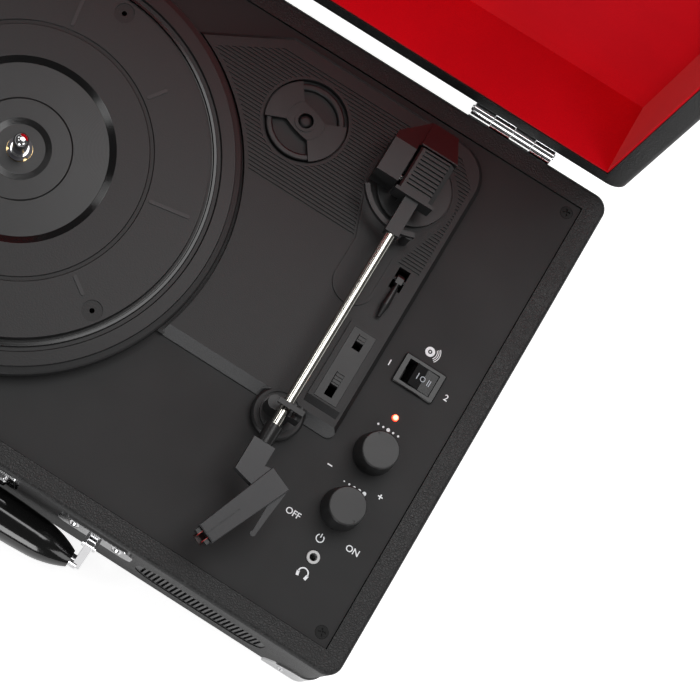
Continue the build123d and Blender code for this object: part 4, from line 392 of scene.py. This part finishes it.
def ring_band(bm, x, y, inner, outer, low, high, start=0.0, stop=360.0, steps=32):
    """A flat band along an arc, or a whole ring."""
    whole = stop - start >= 359.9
    count = steps if whole else steps + 1
    loops = []
    for k in range(count):
        angle = math.radians(start + (stop - start) * k / steps)
        c = math.cos(angle)
        s = math.sin(angle)
        loops.append([bm.verts.new((x + r * c, y + r * s, z))
                      for r, z in ((inner, low), (outer, low), (outer, high), (inner, high))])
    spans = range(count) if whole else range(count - 1)
    for k in spans:
        a = loops[k]
        b = loops[(k + 1) % count]
        for i in range(4):
            j = (i + 1) % 4
            bm.faces.new((a[i], a[j], b[j], b[i]))
    if not whole:
        bm.faces.new(loops[0])
        bm.faces.new(loops[-1][::-1])


def disc(bm, x, y, radius, low, high, steps=28):
    """A round spot of ink."""
    points = [(x + radius * math.cos(2 * math.pi * k / steps), y + radius * math.sin(2 * math.pi * k / steps))
              for k in range(steps)]
    outline_prism(bm, points, low, high)


def bar(bm, x, y, width, depth, low, high, turn=0.0):
    """A small rectangle of ink, turned about its middle."""
    c = math.cos(math.radians(turn))
    s = math.sin(math.radians(turn))
    corners = ((-width, -depth), (width, -depth), (width, depth), (-width, depth))
    outline_prism(bm, [(x + (u * c - v * s) / 2, y + (u * s + v * c) / 2) for u, v in corners], low, high)


def lettering(name, text, height, film):
    """Letters as a thin mesh, centred on the origin, lying flat."""
    curve = bpy.data.curves.new(name, "FONT")
    curve.body = text
    curve.align_x = "CENTER"
    curve.align_y = "CENTER"
    curve.size = height / 0.72
    curve.extrude = film / 2
    curve.offset = height * 0.012
    curve.resolution_u = 6
    holder = bpy.data.objects.new(name, curve)
    bpy.context.scene.collection.objects.link(holder)
    bpy.context.view_layer.update()
    mesh = bpy.data.meshes.new_from_object(holder.evaluated_get(bpy.context.evaluated_depsgraph_get()))
    bpy.data.objects.remove(holder)
    bpy.data.curves.remove(curve)
    mesh.name = name
    mesh.materials.clear()
    return mesh


# ------------------------------------------------------------ operators
class RECORDPLAYER_OT_case(bpy.types.Operator):
    """Leather cloth on the case and lid, with its rubber feet and bare inner boards"""

    bl_idname = "recordplayer.case"
    bl_label = "Case and Lid"

    def execute(self, context):
        finish = context.scene.recordplayer_case
        finish_nodes(("case_base", "lid_shell"), leather_material(finish))
        finish_node("feet", textured_plastic("rubber feet", (0.012, 0.012, 0.012), 0.0005, 0.75, 0.3, 1.6))
        finish_node("bottom_board", textured_plastic("painted fibreboard", (0.016, 0.015, 0.014), 0.0009, 0.7, 0.5, 1.8))
        return {"FINISHED"}


class RECORDPLAYER_OT_deck(bpy.types.Operator):
    """The board, the moulded deck and the record adapter"""

    bl_idname = "recordplayer.deck"
    bl_label = "Board and Deck"

    def execute(self, context):
        finish = context.scene.recordplayer_deck
        grain = finish.texture
        finish_node("motor_board", textured_plastic("board laminate", finish.board, grain * 1.4, 0.62, 0.25, 1.9))
        finish_node("deck_chassis", deck_material(finish, grain * 1.3))
        finish_node("record_adapter", textured_plastic("adapter plastic", (0.008, 0.008, 0.0085), grain, 0.42, 0.2, 1.6))
        dark = plain_plastic("switch plate plastic", (0.012, 0.012, 0.0125), 0.42)
        finish_nodes(("switch_plate", "speed_slider", "autostop_slider"), dark)
        return {"FINISHED"}


def deck_material(finish, grain_size):
    """The moulding's texture, with a painted highlight on the bevels that face the front: paler there, its grain picked
    out more strongly.
    """
    material, tree, shader, where = new_material("moulded deck")
    grain = place(tree, shared("Moulded Texture", texture_group), where, Grain=grain_size)
    facing = add(tree, "ShaderNodeSeparateXYZ", Vector=tree.nodes.new("ShaderNodeNewGeometry").outputs["Normal"])
    bevel = maths(tree, "MULTIPLY", stretch(tree, facing.outputs[1], -0.75, -0.6, 1.0, 0.0),
                  stretch(tree, facing.outputs[2], 0.3, 0.5, 0.0, 1.0))
    base = blend_colour(tree, grain.outputs["Patch"], rgba(finish.moulding, 0.9), rgba(finish.moulding, 1.1))
    base = blend_colour(tree, maths(tree, "MULTIPLY", grain.outputs["Speck"], 0.35), base, rgba(finish.moulding, 2.0))
    # painted highlight: bevels facing the front and up are lightened, the grain's high points up to 7 times the
    # moulding colour
    bevel_highlight = blend_colour(tree, grain.outputs["Height"], rgba(finish.moulding, 0.8), rgba(finish.moulding, 7.0))
    tree.links.new(blend_colour(tree, bevel, base, bevel_highlight), shader.inputs["Base Color"])
    tree.links.new(stretch(tree, bevel, 0.0, 1.0, 0.52, 0.4), shader.inputs["Roughness"])
    bump(tree, shader, grain.outputs["Height"], 0.6, 0.0001)
    return material


class RECORDPLAYER_OT_platter(bpy.types.Operator):
    """The platter, with its polished rings, and the drive parts under it"""

    bl_idname = "recordplayer.platter"
    bl_label = "Platter and Drive"

    def execute(self, context):
        finish = context.scene.recordplayer_deck
        finish_node("platter", platter_material(finish))
        finish_node("spindle", metal("spindle steel", (0.75, 0.75, 0.76), 0.1))
        finish_node("motor_screws", metal("zinc plate", (0.6, 0.6, 0.58), 0.28))
        finish_node("spindle_clip", plain_plastic("clip plastic", (0.035, 0.035, 0.042), 0.35))
        finish_nodes(("platter_bush", "motor_pulley"), metal("turned brass", (0.8, 0.58, 0.28), 0.22))
        finish_node("thrust_washer", plain_plastic("washer nylon", (0.6, 0.58, 0.52), 0.45))
        finish_node("drive_belt", textured_plastic("belt rubber", (0.01, 0.01, 0.01), 0.0004, 0.7, 0.2, 1.4))
        finish_node("motor", metal("motor can", (0.55, 0.55, 0.54), 0.35))
        return {"FINISHED"}


def platter_material(finish):
    """Textured plastic with polished rings round the label, turned about the spindle."""
    material, tree, shader, where = new_material("platter plastic")
    middle = centre_of("platter")
    offset = add(tree, "ShaderNodeVectorMath", i0=where, i1=(middle.x, middle.y, 0.0))
    offset.operation = "SUBTRACT"
    split = add(tree, "ShaderNodeSeparateXYZ", Vector=offset.outputs[0])
    flat = add(tree, "ShaderNodeCombineXYZ", X=split.outputs[0], Y=split.outputs[1])
    reach = add(tree, "ShaderNodeVectorMath", i0=flat.outputs[0])
    reach.operation = "LENGTH"
    radius = reach.outputs["Value"]
    grain = place(tree, shared("Moulded Texture", texture_group), where, Grain=finish.texture * 2.0)
    label = stretch(tree, radius, 0.0434, 0.0436, 1.0, 0.0)
    ridge = maths(tree, "MULTIPLY", stretch(tree, radius, 0.0870, 0.0872, 0.0, 1.0),
                  stretch(tree, radius, 0.0889, 0.0891, 1.0, 0.0))
    slopes = maths(tree, "MAXIMUM",
                   maths(tree, "MULTIPLY", stretch(tree, radius, 0.0402, 0.0403, 0.0, 1.0), label),
                   maths(tree, "MULTIPLY", stretch(tree, radius, 0.0115, 0.0116, 0.0, 1.0),
                         stretch(tree, radius, 0.0144, 0.0145, 1.0, 0.0)))
    polish = maths(tree, "MAXIMUM", label, ridge)
    gloss = maths(tree, "MAXIMUM", slopes, ridge)
    mat_top = 87.0 * MM
    outside = stretch(tree, radius, 0.0440, 0.0441, 0.0, 1.0)
    inside = stretch(tree, radius, 0.0850, 0.0851, 1.0, 0.0)
    field = maths(tree, "MULTIPLY", outside, inside)
    # painted shade: recesses sunk below the mat's top are darkened to 0.4 of the platter colour
    recess_shade_mask = maths(tree, "MULTIPLY", field, stretch(tree, split.outputs[2], mat_top - 0.2 * MM, mat_top - 0.1 * MM, 1.0, 0.0))
    # painted highlight: the tops of marks raised above the mat are lightened to 2.2 times the platter colour
    raised_highlight_mask = maths(tree, "MULTIPLY", field, stretch(tree, split.outputs[2], mat_top + 0.3 * MM, mat_top + 0.4 * MM, 0.0, 1.0))
    tone = blend_colour(tree, polish, rgba(finish.mat), rgba(finish.mat, 0.7))
    tone = blend_colour(tree, gloss, tone, rgba(finish.mat, 0.35))
    tone = blend_colour(tree, recess_shade_mask, tone, rgba(finish.mat, 0.4))
    tone = blend_colour(tree, raised_highlight_mask, tone, rgba(finish.mat, 2.2))
    speck = maths(tree, "MULTIPLY", grain.outputs["Speck"], maths(tree, "SUBTRACT", 0.3, maths(tree, "MULTIPLY", polish, 0.3)))
    tree.links.new(blend_colour(tree, speck, tone, rgba(finish.mat, 2.2)), shader.inputs["Base Color"])
    dull = stretch(tree, polish, 0.0, 1.0, 0.5, 0.34)
    tree.links.new(maths(tree, "SUBTRACT", dull, maths(tree, "MULTIPLY", gloss, 0.22)), shader.inputs["Roughness"])
    turned = maths(tree, "SINE", maths(tree, "MULTIPLY", radius, 2 * math.pi / 0.0006))
    fine = maths(tree, "MULTIPLY", maths(tree, "MULTIPLY", turned, label), 0.12)
    rough = maths(tree, "MULTIPLY", grain.outputs["Height"], stretch(tree, polish, 0.0, 1.0, 1.0, 0.02))
    bump(tree, shader, maths(tree, "ADD", fine, rough), 0.5, 0.00012)
    return material


class RECORDPLAYER_OT_tonearm(bpy.types.Operator):
    """The tonearm, its rest, clip and cueing"""

    bl_idname = "recordplayer.tonearm"
    bl_label = "Tonearm"

    def execute(self, context):
        metals = context.scene.recordplayer_metal
        grain = context.scene.recordplayer_deck.texture
        body = textured_plastic("arm moulding", (0.013, 0.013, 0.0135), grain, 0.42, 0.25, 1.8)
        finish_nodes(("tonearm_yoke", "tonearm_block", "arm_rest", "arm_clip", "cue_lift"), body)
        finish_nodes(("headshell", "headshell_neck", "finger_lift"),
                     textured_plastic("headshell moulding", (0.022, 0.022, 0.024), grain, 0.4, 0.15, 1.5))
        finish_node("tube_collar", plain_plastic("collar plastic", (0.012, 0.012, 0.012), 0.3))
        finish_node("tonearm_tube", metal("arm tube", metals.tube, 0.16))
        finish_node("tilt_pin", metal("pin steel", (0.55, 0.55, 0.54), 0.25))
        finish_nodes(("cue_grip", "cue_lever"), plain_plastic("lever plastic", (0.009, 0.009, 0.0095), 0.35))
        # painted reflection: thin red strips on the cartridge's two side edges stand in for the red lining reflected
        # there
        red = plain_plastic("painted lining reflection", (0.4, 0.01, 0.008), 0.3)
        edges = bmesh.new()
        for side in (-1, 1):
            bar(edges, side * 1.75 * MM, -41.75 * MM, 0.3 * MM, 2.3 * MM, 19.4 * MM, 25.35 * MM)
        mesh = mesh_of("cartridge_edge_reflection", edges)
        shell = Matrix.Translation((110.5 * MM, -92.696 * MM, 74.0 * MM))
        mesh.transform(shell @ Matrix.Rotation(math.radians(-22.2), 4, "Z"))
        new_piece("cartridge_edge_reflection", mesh, "arm", red)
        finish_node("cartridge", plain_plastic("cartridge plastic", (0.006, 0.006, 0.006), 0.25))
        finish_node("stylus", plain_plastic("stylus carrier", (0.02, 0.004, 0.004), 0.3))
        return {"FINISHED"}


class RECORDPLAYER_OT_controls(bpy.types.Operator):
    """Knobs, rocker switch, lamp and headphone socket"""

    bl_idname = "recordplayer.controls"
    bl_label = "Controls"

    def execute(self, context):
        grain = context.scene.recordplayer_deck.texture
        finish_nodes(("pitch_knob", "volume_knob"),
                     textured_plastic("knob plastic", (0.016, 0.016, 0.0165), grain * 0.8, 0.4, 0.15, 1.6))
        finish_node("rocker_bezel", plain_plastic("switch frame plastic", (0.009, 0.009, 0.0095), 0.32))
        finish_node("rocker_cap", plain_plastic("rocker plastic", (0.010, 0.010, 0.0105), 0.25))
        finish_node("headphone_jack", plain_plastic("socket ring", (0.5, 0.5, 0.5), 0.35))
        finish_node("potentiometers", metal("potentiometer steel", (0.6, 0.6, 0.6), 0.3))
        finish_node("led_lens", lamp_material())
        finish_node("board_screws", metal("blackened screw", (0.018, 0.018, 0.018), 0.35))
        return {"FINISHED"}


def lamp_material():
    """The lit indicator: pale in the middle, red at its edge."""
    material, tree, shader, where = new_material("lit lamp", Roughness=0.2, Emission_Strength=3.0)
    middle = centre_of("led_lens")
    offset = add(tree, "ShaderNodeVectorMath", i0=where, i1=(middle.x, middle.y, 0.0))
    offset.operation = "SUBTRACT"
    split = add(tree, "ShaderNodeSeparateXYZ", Vector=offset.outputs[0])
    flat = add(tree, "ShaderNodeCombineXYZ", X=split.outputs[0], Y=split.outputs[1])
    reach = add(tree, "ShaderNodeVectorMath", i0=flat.outputs[0])
    reach.operation = "LENGTH"
    edge = stretch(tree, reach.outputs["Value"], 0.0006, 0.0015, 0.0, 1.0)
    glow = blend_colour(tree, edge, (1.0, 0.55, 0.3, 1.0), (0.9, 0.03, 0.01, 1.0))
    tree.links.new(glow, shader.inputs["Emission Color"])
    tree.links.new(blend_colour(tree, edge, (0.9, 0.2, 0.1, 1.0), (0.5, 0.02, 0.01, 1.0)), shader.inputs["Base Color"])
    return material


class RECORDPLAYER_OT_fittings(bpy.types.Operator):
    """Plated hinges, latch, handle plates and corner caps"""

    bl_idname = "recordplayer.fittings"
    bl_label = "Plated Fittings"

    def execute(self, context):
        metals = context.scene.recordplayer_metal
        chrome = metal("chrome plate", metals.chrome, metals.roughness)
        finish_nodes(("corner_caps", "handle_plates", "handle_links", "handle_screws", "latch_plate", "latch_button",
                      "latch_hasp", "hasp_plate", "hinge_base_leaves", "hinge_lid_leaves"), chrome)
        grip = plain_plastic("grip plastic", context.scene.recordplayer_case.grip, 0.14, 0.6)
        finish_node("handle_grip", grip)
        return {"FINISHED"}


class RECORDPLAYER_OT_sound(bpy.types.Operator):
    """Grilles, speakers, circuit board and rear sockets"""

    bl_idname = "recordplayer.sound"
    bl_label = "Sound and Sockets"

    def execute(self, context):
        grain = context.scene.recordplayer_deck.texture
        finish_node("speaker_grilles", plain_plastic("grille plastic", (0.02, 0.02, 0.021), 0.38))
        finish_node("speakers", metal("speaker basket", (0.4, 0.4, 0.4), 0.4))
        finish_node("speaker_cones", textured_plastic("cone paper", (0.02, 0.02, 0.02), grain * 2, 0.8, 0.6, 1.8))
        finish_node("circuit_board", textured_plastic("circuit laminate", (0.03, 0.12, 0.05), grain * 2, 0.5, 0.2, 1.6))
        finish_node("socket_plate", plain_plastic("socket plate plastic", (0.012, 0.012, 0.012), 0.4))
        finish_node("rear_sockets", metal("socket plating", (0.7, 0.69, 0.66), 0.2))
        return {"FINISHED"}


def velvet_material(finish):
    """Short red pile, brushed in soft patches."""
    material, tree, shader, where = new_material("red velvet", Roughness=0.8, Sheen_Weight=0.5,
                                                 Sheen_Roughness=0.4, Sheen_Tint=(1.0, 0.2, 0.2, 1.0),
                                                 Specular_IOR_Level=0.1)
    pile = add(tree, "ShaderNodeTexNoise", Vector=where, Scale=2600.0, Detail=2.0)
    brushed = add(tree, "ShaderNodeTexNoise", Vector=where, Scale=14.0, Detail=4.0)
    tone = blend_colour(tree, stretch(tree, brushed.outputs["Fac"], 0.35, 0.65, 0.0, 1.0),
                        rgba(finish.velvet, 0.86), rgba(finish.velvet, 1.0))
    tree.links.new(blend_colour(tree, stretch(tree, pile.outputs["Fac"], 0.35, 0.6, 0.3, 0.0), tone,
                                rgba(finish.velvet, 0.6)), shader.inputs["Base Color"])
    bump(tree, shader, pile.outputs["Fac"], 0.35, 0.00015)
    return material


def lining_point(u, v, half_x, half_y, deep, puff):
    """A point of the lining, from its place on the unfolded cross of panel and side strips."""
    x = max(-half_x, min(half_x, u))
    y = max(-half_y, min(half_y, v))
    over = max(abs(u) - half_x, abs(v) - half_y, 0.0)
    across = max(0.0, 1 - (x / half_x) ** 4) * max(0.0, 1 - (y / half_y) ** 4)
    ripple = 1 + 0.35 * math.sin(x * 31.0 + 2.0 * math.sin(y * 17.0)) * math.cos(y * 23.0)
    return x, y, deep - puff * across * ripple - over


def lining_mesh(half_x, half_y, deep, puff, cloth):
    """The velvet tray, drawn opening downwards, as cloth with a thickness."""
    bm = bmesh.new()
    strips = 5
    columns = 48
    rows = 34
    us = [-half_x + 2 * half_x * k / columns for k in range(columns + 1)]
    vs = [-half_y + 2 * half_y * k / rows for k in range(rows + 1)]
    grid = {}
    for i, u in enumerate(us):
        for j, v in enumerate(vs):
            grid[i, j] = bm.verts.new(lining_point(u, v, half_x, half_y, deep, puff))
    for i in range(columns):
        for j in range(rows):
            bm.faces.new((grid[i, j], grid[i, j + 1], grid[i + 1, j + 1], grid[i + 1, j]))
    rim = [(i, 0) for i in range(columns)] + [(columns, j) for j in range(rows)]
    rim += [(i, rows) for i in range(columns, 0, -1)] + [(0, j) for j in range(rows, 0, -1)]
    above = [grid[key] for key in rim]
    for step in range(1, strips + 1):
        drop = deep * (1 - step / strips)
        below = [bm.verts.new((vert.co.x, vert.co.y, drop)) for vert in above]
        for k in range(len(rim)):
            n = (k + 1) % len(rim)
            bm.faces.new((above[k], above[n], below[n], below[k]))
        above = below
    mesh = mesh_of("velvet_lining", bm)
    holder = bpy.data.objects.new("velvet_lining", mesh)
    bpy.context.scene.collection.objects.link(holder)
    thick = holder.modifiers.new("cloth", "SOLIDIFY")
    thick.thickness = cloth
    thick.offset = 0.0
    bpy.context.view_layer.update()
    solid = bpy.data.meshes.new_from_object(holder.evaluated_get(bpy.context.evaluated_depsgraph_get()))
    bpy.data.objects.remove(holder)
    solid.name = "velvet_lining"
    return solid


class RECORDPLAYER_OT_lining(bpy.types.Operator):
    """The velvet lining glued in the lid"""

    bl_idname = "recordplayer.lining"
    bl_label = "Velvet Lining"

    def execute(self, context):
        finish = context.scene.recordplayer_case
        cloth = 1.0 * MM
        half_x = 166.85 * MM
        half_y = 116.85 * MM
        deep = 37.95 * MM
        mesh = lining_mesh(half_x, half_y, deep, finish.puff, cloth)
        hinge = Vector((0.0, 108.304 * MM, 74.4 * MM))
        closed = Matrix.Translation((0.0, -22.896 * MM, 75.4 * MM))
        swing = Matrix.Translation(hinge) @ Matrix.Rotation(math.radians(-95.0), 4, "X") @ Matrix.Translation(-hinge)
        mesh.transform(swing @ closed)
        piece = new_piece("velvet_lining", mesh, "lid", velvet_material(finish))
        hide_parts("lid_lining")
        return {"FINISHED"}


def grey_ink():
    """The thin grey paint of the rocker's legend."""
    material, tree, shader, where = new_material("grey ink", Roughness=0.5)
    wear = add(tree, "ShaderNodeTexNoise", Vector=where, Scale=2500.0, Detail=2.0)
    tree.links.new(blend_colour(tree, wear.outputs["Fac"], (0.42, 0.46, 0.5, 1.0), (0.5, 0.54, 0.58, 1.0)),
                   shader.inputs["Base Color"])
    return material


class RECORDPLAYER_OT_printing(bpy.types.Operator):
    """White legends on the board and the rocker"""

    bl_idname = "recordplayer.printing"
    bl_label = "Printing"

    def execute(self, context):
        finish = context.scene.recordplayer_print
        ink, _, shader, where = new_material("white ink", Roughness=0.55)
        tree = ink.node_tree
        wear = add(tree, "ShaderNodeTexNoise", Vector=where, Scale=1500.0, Detail=2.0)
        tree.links.new(blend_colour(tree, stretch(tree, wear.outputs["Fac"], 0.55, 0.75, 0.0, 1.0), rgba(finish.ink),
                                    rgba(finish.ink, 0.75)), shader.inputs["Base Color"])
        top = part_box("motor_board")[1].z + 0.00002
        high = top + finish.film
        knob = centre_of("volume_knob")
        pitch = centre_of("pitch_knob")
        jack = centre_of("headphone_jack")
        rocker = centre_of("rocker_bezel")
        words = (
            ("off_word", "OFF", knob.x - 17.4 * MM, knob.y - 13.1 * MM),
            ("on_word", "ON", knob.x + 13.4 * MM, knob.y - 13.1 * MM),
            ("one_numeral", "1", rocker.x - 14.8 * MM, rocker.y - 1.0 * MM),
            ("two_numeral", "2", rocker.x + 15.0 * MM, rocker.y - 1.0 * MM),
        )
        for name, text, x, y in words:
            mesh = lettering(name, text, finish.height, finish.film)
            mesh.transform(Matrix.Translation((x, y, top + finish.film / 2)))
            new_piece(name, mesh, "base", ink)
        signs = bmesh.new()
        stroke = finish.height * 0.2
        reach = finish.height * 0.8
        bar(signs, pitch.x - 14.3 * MM, pitch.y - 14.9 * MM, reach, stroke, top, high)
        plus_sign(signs, pitch.x + 12.0 * MM, pitch.y - 14.9 * MM, reach / 2, stroke / 2, top, high)
        record_sign(signs, rocker.x - 1.6 * MM, rocker.y + 13.4 * MM, top, high)
        headphone_sign(signs, jack.x - 0.3 * MM, jack.y - 8.3 * MM, top, high)
        power_sign(signs, knob.x - 1.6 * MM, knob.y - 16.1 * MM, top, high)
        for k in range(5):
            disc(signs, pitch.x + (k - 2) * 2.6 * MM, pitch.y + 12.7 * MM, (0.85 if k == 2 else 0.5) * MM, top, high)
            disc(signs, knob.x + (k - 2) * 2.6 * MM, knob.y + 11.3 * MM, (0.35 + 0.14 * k) * MM, top, high)
        new_piece("board_signs", mesh_of("board_signs", signs), "base", ink)
        legend = rocker_legend(finish.film)
        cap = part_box("rocker_cap")
        place_legend = Matrix.Translation((rocker.x + 1.87 * MM, rocker.y, cap[1].z - 1.1 * MM))
        legend.transform(place_legend @ Matrix.Rotation(math.radians(12.0), 4, "Y"))
        new_piece("rocker_legend", legend, "rocker", grey_ink())
        return {"FINISHED"}


def plus_sign(bm, x, y, arm, half, low, high):
    """A plus made as one outline."""
    corners = ((half, arm), (half, half), (arm, half), (arm, -half), (half, -half), (half, -arm),
               (-half, -arm), (-half, -half), (-arm, -half), (-arm, half), (-half, half), (-half, arm))
    outline_prism(bm, [(x + u, y + v) for u, v in corners], low, high)


def rocker_legend(film):
    """One bar, a ring and two bars, on the flat half of the cap, before it is leaned with the cap."""
    bm = bmesh.new()
    for u in (-3.2, 2.5, 3.5):
        bar(bm, u * MM, 0.0, 0.42 * MM, 3.0 * MM, 0.0, film)
    ring_band(bm, -0.4 * MM, 0.0, 0.95 * MM, 1.3 * MM, 0.0, film)
    return mesh_of("rocker_legend", bm)


def record_sign(bm, x, y, low, high):
    """A record with sound waves to its right."""
    ring_band(bm, x, y, 1.0 * MM, 2.3 * MM, low, high)
    disc(bm, x, y, 0.4 * MM, low, high)
    for k in range(3):
        radius = (3.1 + 0.8 * k) * MM
        ring_band(bm, x, y, radius, radius + 0.35 * MM, low, high, -42.0, 42.0, 12)


def headphone_sign(bm, x, y, low, high):
    """A headband over two ear cups."""
    ring_band(bm, x, y, 2.0 * MM, 2.6 * MM, low, high, -8.0, 188.0, 20)
    for side in (-1, 1):
        bar(bm, x + side * 2.1 * MM, y - 1.1 * MM, 1.3 * MM, 2.2 * MM, low, high, -side * 12)


def power_sign(bm, x, y, low, high):
    """The usual on-off sign: an open ring and a bar."""
    ring_band(bm, x, y, 1.5 * MM, 2.0 * MM, low, high, 125.0, 415.0, 24)
    bar(bm, x, y + 1.35 * MM, 0.5 * MM, 1.9 * MM, low, high)


class RECORDPLAYER_OT_studio(bpy.types.Operator):
    """Camera, soft lamps and a pale floor"""

    bl_idname = "recordplayer.studio"
    bl_label = "Studio"

    def execute(self, context):
        setup = context.scene.recordplayer_studio
        scene = context.scene
        scene.view_settings.view_transform = "Standard"
        lens = bpy.data.cameras.new("camera")
        lens.lens = setup.lens
        lens.sensor_width = 36.0
        lens.shift_x = 0.3037
        lens.shift_y = -0.26
        lens.clip_start = 0.05
        camera = bpy.data.objects.new("camera", lens)
        scene.collection.objects.link(camera)
        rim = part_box("case_base")[1].z
        middle = centre_of("case_base")
        right = Vector((0.84474809, 0.52503637, 0.10362177))
        up = Vector((-0.53323245, 0.80933346, 0.24625698))
        back = Vector((0.04542931, -0.2632796, 0.96364933))
        turn = Matrix((right, up, back)).transposed().to_4x4()
        spot = Vector((31.26 * MM + middle.x, -249.5 * MM + middle.y, 987.43 * MM + rim))
        camera.matrix_world = Matrix.Translation(spot) @ turn
        scene.camera = camera
        mesh = bpy.data.meshes.new("floor")
        size = 6.0
        mesh.from_pydata([(-size, -size, 0), (size, -size, 0), (size, size, 0), (-size, size, 0)], [], [(0, 1, 2, 3)])
        floor = bpy.data.objects.new("floor", mesh)
        scene.collection.objects.link(floor)
        mesh.materials.append(floor_material(setup.floor))
        world = bpy.data.worlds.new("studio")
        scene.world = world
        world.use_nodes = True
        backdrop = world.node_tree.nodes["Background"]
        path = world.node_tree.nodes.new("ShaderNodeLightPath")
        seen = maths(world.node_tree, "MAXIMUM", path.outputs["Is Camera Ray"], path.outputs["Is Transmission Ray"])
        shine = stretch(world.node_tree, path.outputs["Is Glossy Ray"], 0.0, 1.0, 0.36, 0.08)
        level = maths(world.node_tree, "MAXIMUM", seen, shine)
        world.node_tree.links.new(level, backdrop.inputs["Strength"])
        backdrop.inputs["Color"].default_value = (1, 1, 1, 1)
        lamp("key lamp", (0.2, 0.5, 1.3), (0.0, 0.0, 0.05), 0.9, setup.key)
        lamp("fill lamp", (1.1, -0.6, 0.9), (0.0, 0.0, 0.05), 0.7, setup.fill)
        lamp("front lamp", (0.1, -1.4, 0.6), (0.0, 0.0, 0.08), 0.6, setup.front)
        for index, spot in enumerate(((-0.57, -0.3, 1.3), (-0.93, 0.27, 1.1), (-0.67, 0.9, 0.9))):
            lamp(f"ring lamp {index}", spot, (-0.06, -0.03, 0.08), 0.2, setup.rings)
        return {"FINISHED"}


def floor_material(tone):
    """Pale floor that stays white to the camera and keeps the shadow."""
    material, tree, shader, where = new_material("floor paper", Roughness=0.9, Emission_Strength=0.62)
    path = tree.nodes.new("ShaderNodeLightPath")
    glow = blend_colour(tree, path.outputs["Is Camera Ray"], (0.1, 0.1, 0.1, 1.0), (1.0, 1.0, 1.0, 1.0))
    tree.links.new(glow, shader.inputs["Emission Color"])
    fibre = add(tree, "ShaderNodeTexNoise", Vector=where, Scale=400.0, Detail=2.0)
    tree.links.new(blend_colour(tree, fibre.outputs["Fac"], rgba(tone, 0.98), rgba(tone)), shader.inputs["Base Color"])
    return material


def lamp(name, spot, target, size, power):
    """A square soft lamp aimed at a point."""
    light = bpy.data.lights.new(name, "AREA")
    light.shape = "SQUARE"
    light.size = size
    light.energy = power
    holder = bpy.data.objects.new(name, light)
    bpy.context.scene.collection.objects.link(holder)
    aim = (Vector(target) - Vector(spot)).to_track_quat("-Z", "Y")
    holder.matrix_world = Matrix.Translation(spot) @ aim.to_matrix().to_4x4()
    return holder


class RECORDPLAYER_PT_panel(bpy.types.Panel):
    """Buttons for each piece and the studio"""

    bl_label = "Record Player"
    bl_idname = "RECORDPLAYER_PT_panel"
    bl_space_type = "VIEW_3D"
    bl_region_type = "UI"
    bl_category = "Record Player"

    def draw(self, context):
        for operator in OPERATORS:
            self.layout.operator(operator.bl_idname)
        for group in ("recordplayer_case", "recordplayer_deck", "recordplayer_print", "recordplayer_metal",
                      "recordplayer_studio"):
            settings = getattr(context.scene, group)
            for name in settings.__annotations__:
                self.layout.prop(settings, name)


OPERATORS = (
    RECORDPLAYER_OT_studio,
    RECORDPLAYER_OT_case,
    RECORDPLAYER_OT_lining,
    RECORDPLAYER_OT_deck,
    RECORDPLAYER_OT_platter,
    RECORDPLAYER_OT_tonearm,
    RECORDPLAYER_OT_controls,
    RECORDPLAYER_OT_fittings,
    RECORDPLAYER_OT_sound,
    RECORDPLAYER_OT_printing,
)
SETTINGS = {
    "recordplayer_case": CaseFinish,
    "recordplayer_deck": DeckFinish,
    "recordplayer_print": PrintFinish,
    "recordplayer_metal": MetalFinish,
    "recordplayer_studio": StudioSetup,
}


def register():
    for group in SETTINGS.values():
        bpy.utils.register_class(group)
    for name, group in SETTINGS.items():
        setattr(bpy.types.Scene, name, PointerProperty(type=group))
    for operator in OPERATORS:
        bpy.utils.register_class(operator)
    bpy.utils.register_class(RECORDPLAYER_PT_panel)


def unregister():
    bpy.utils.unregister_class(RECORDPLAYER_PT_panel)
    for operator in reversed(OPERATORS):
        bpy.utils.unregister_class(operator)
    for name in SETTINGS:
        delattr(bpy.types.Scene, name)
    for group in reversed(SETTINGS.values()):
        bpy.utils.unregister_class(group)


def main():
    register()
    bpy.ops.recordplayer.studio()
    bpy.ops.recordplayer.case()
    bpy.ops.recordplayer.lining()
    bpy.ops.recordplayer.deck()
    bpy.ops.recordplayer.platter()
    bpy.ops.recordplayer.tonearm()
    bpy.ops.recordplayer.controls()
    bpy.ops.recordplayer.fittings()
    bpy.ops.recordplayer.sound()
    bpy.ops.recordplayer.printing()


if __name__ == "__main__":
    main()
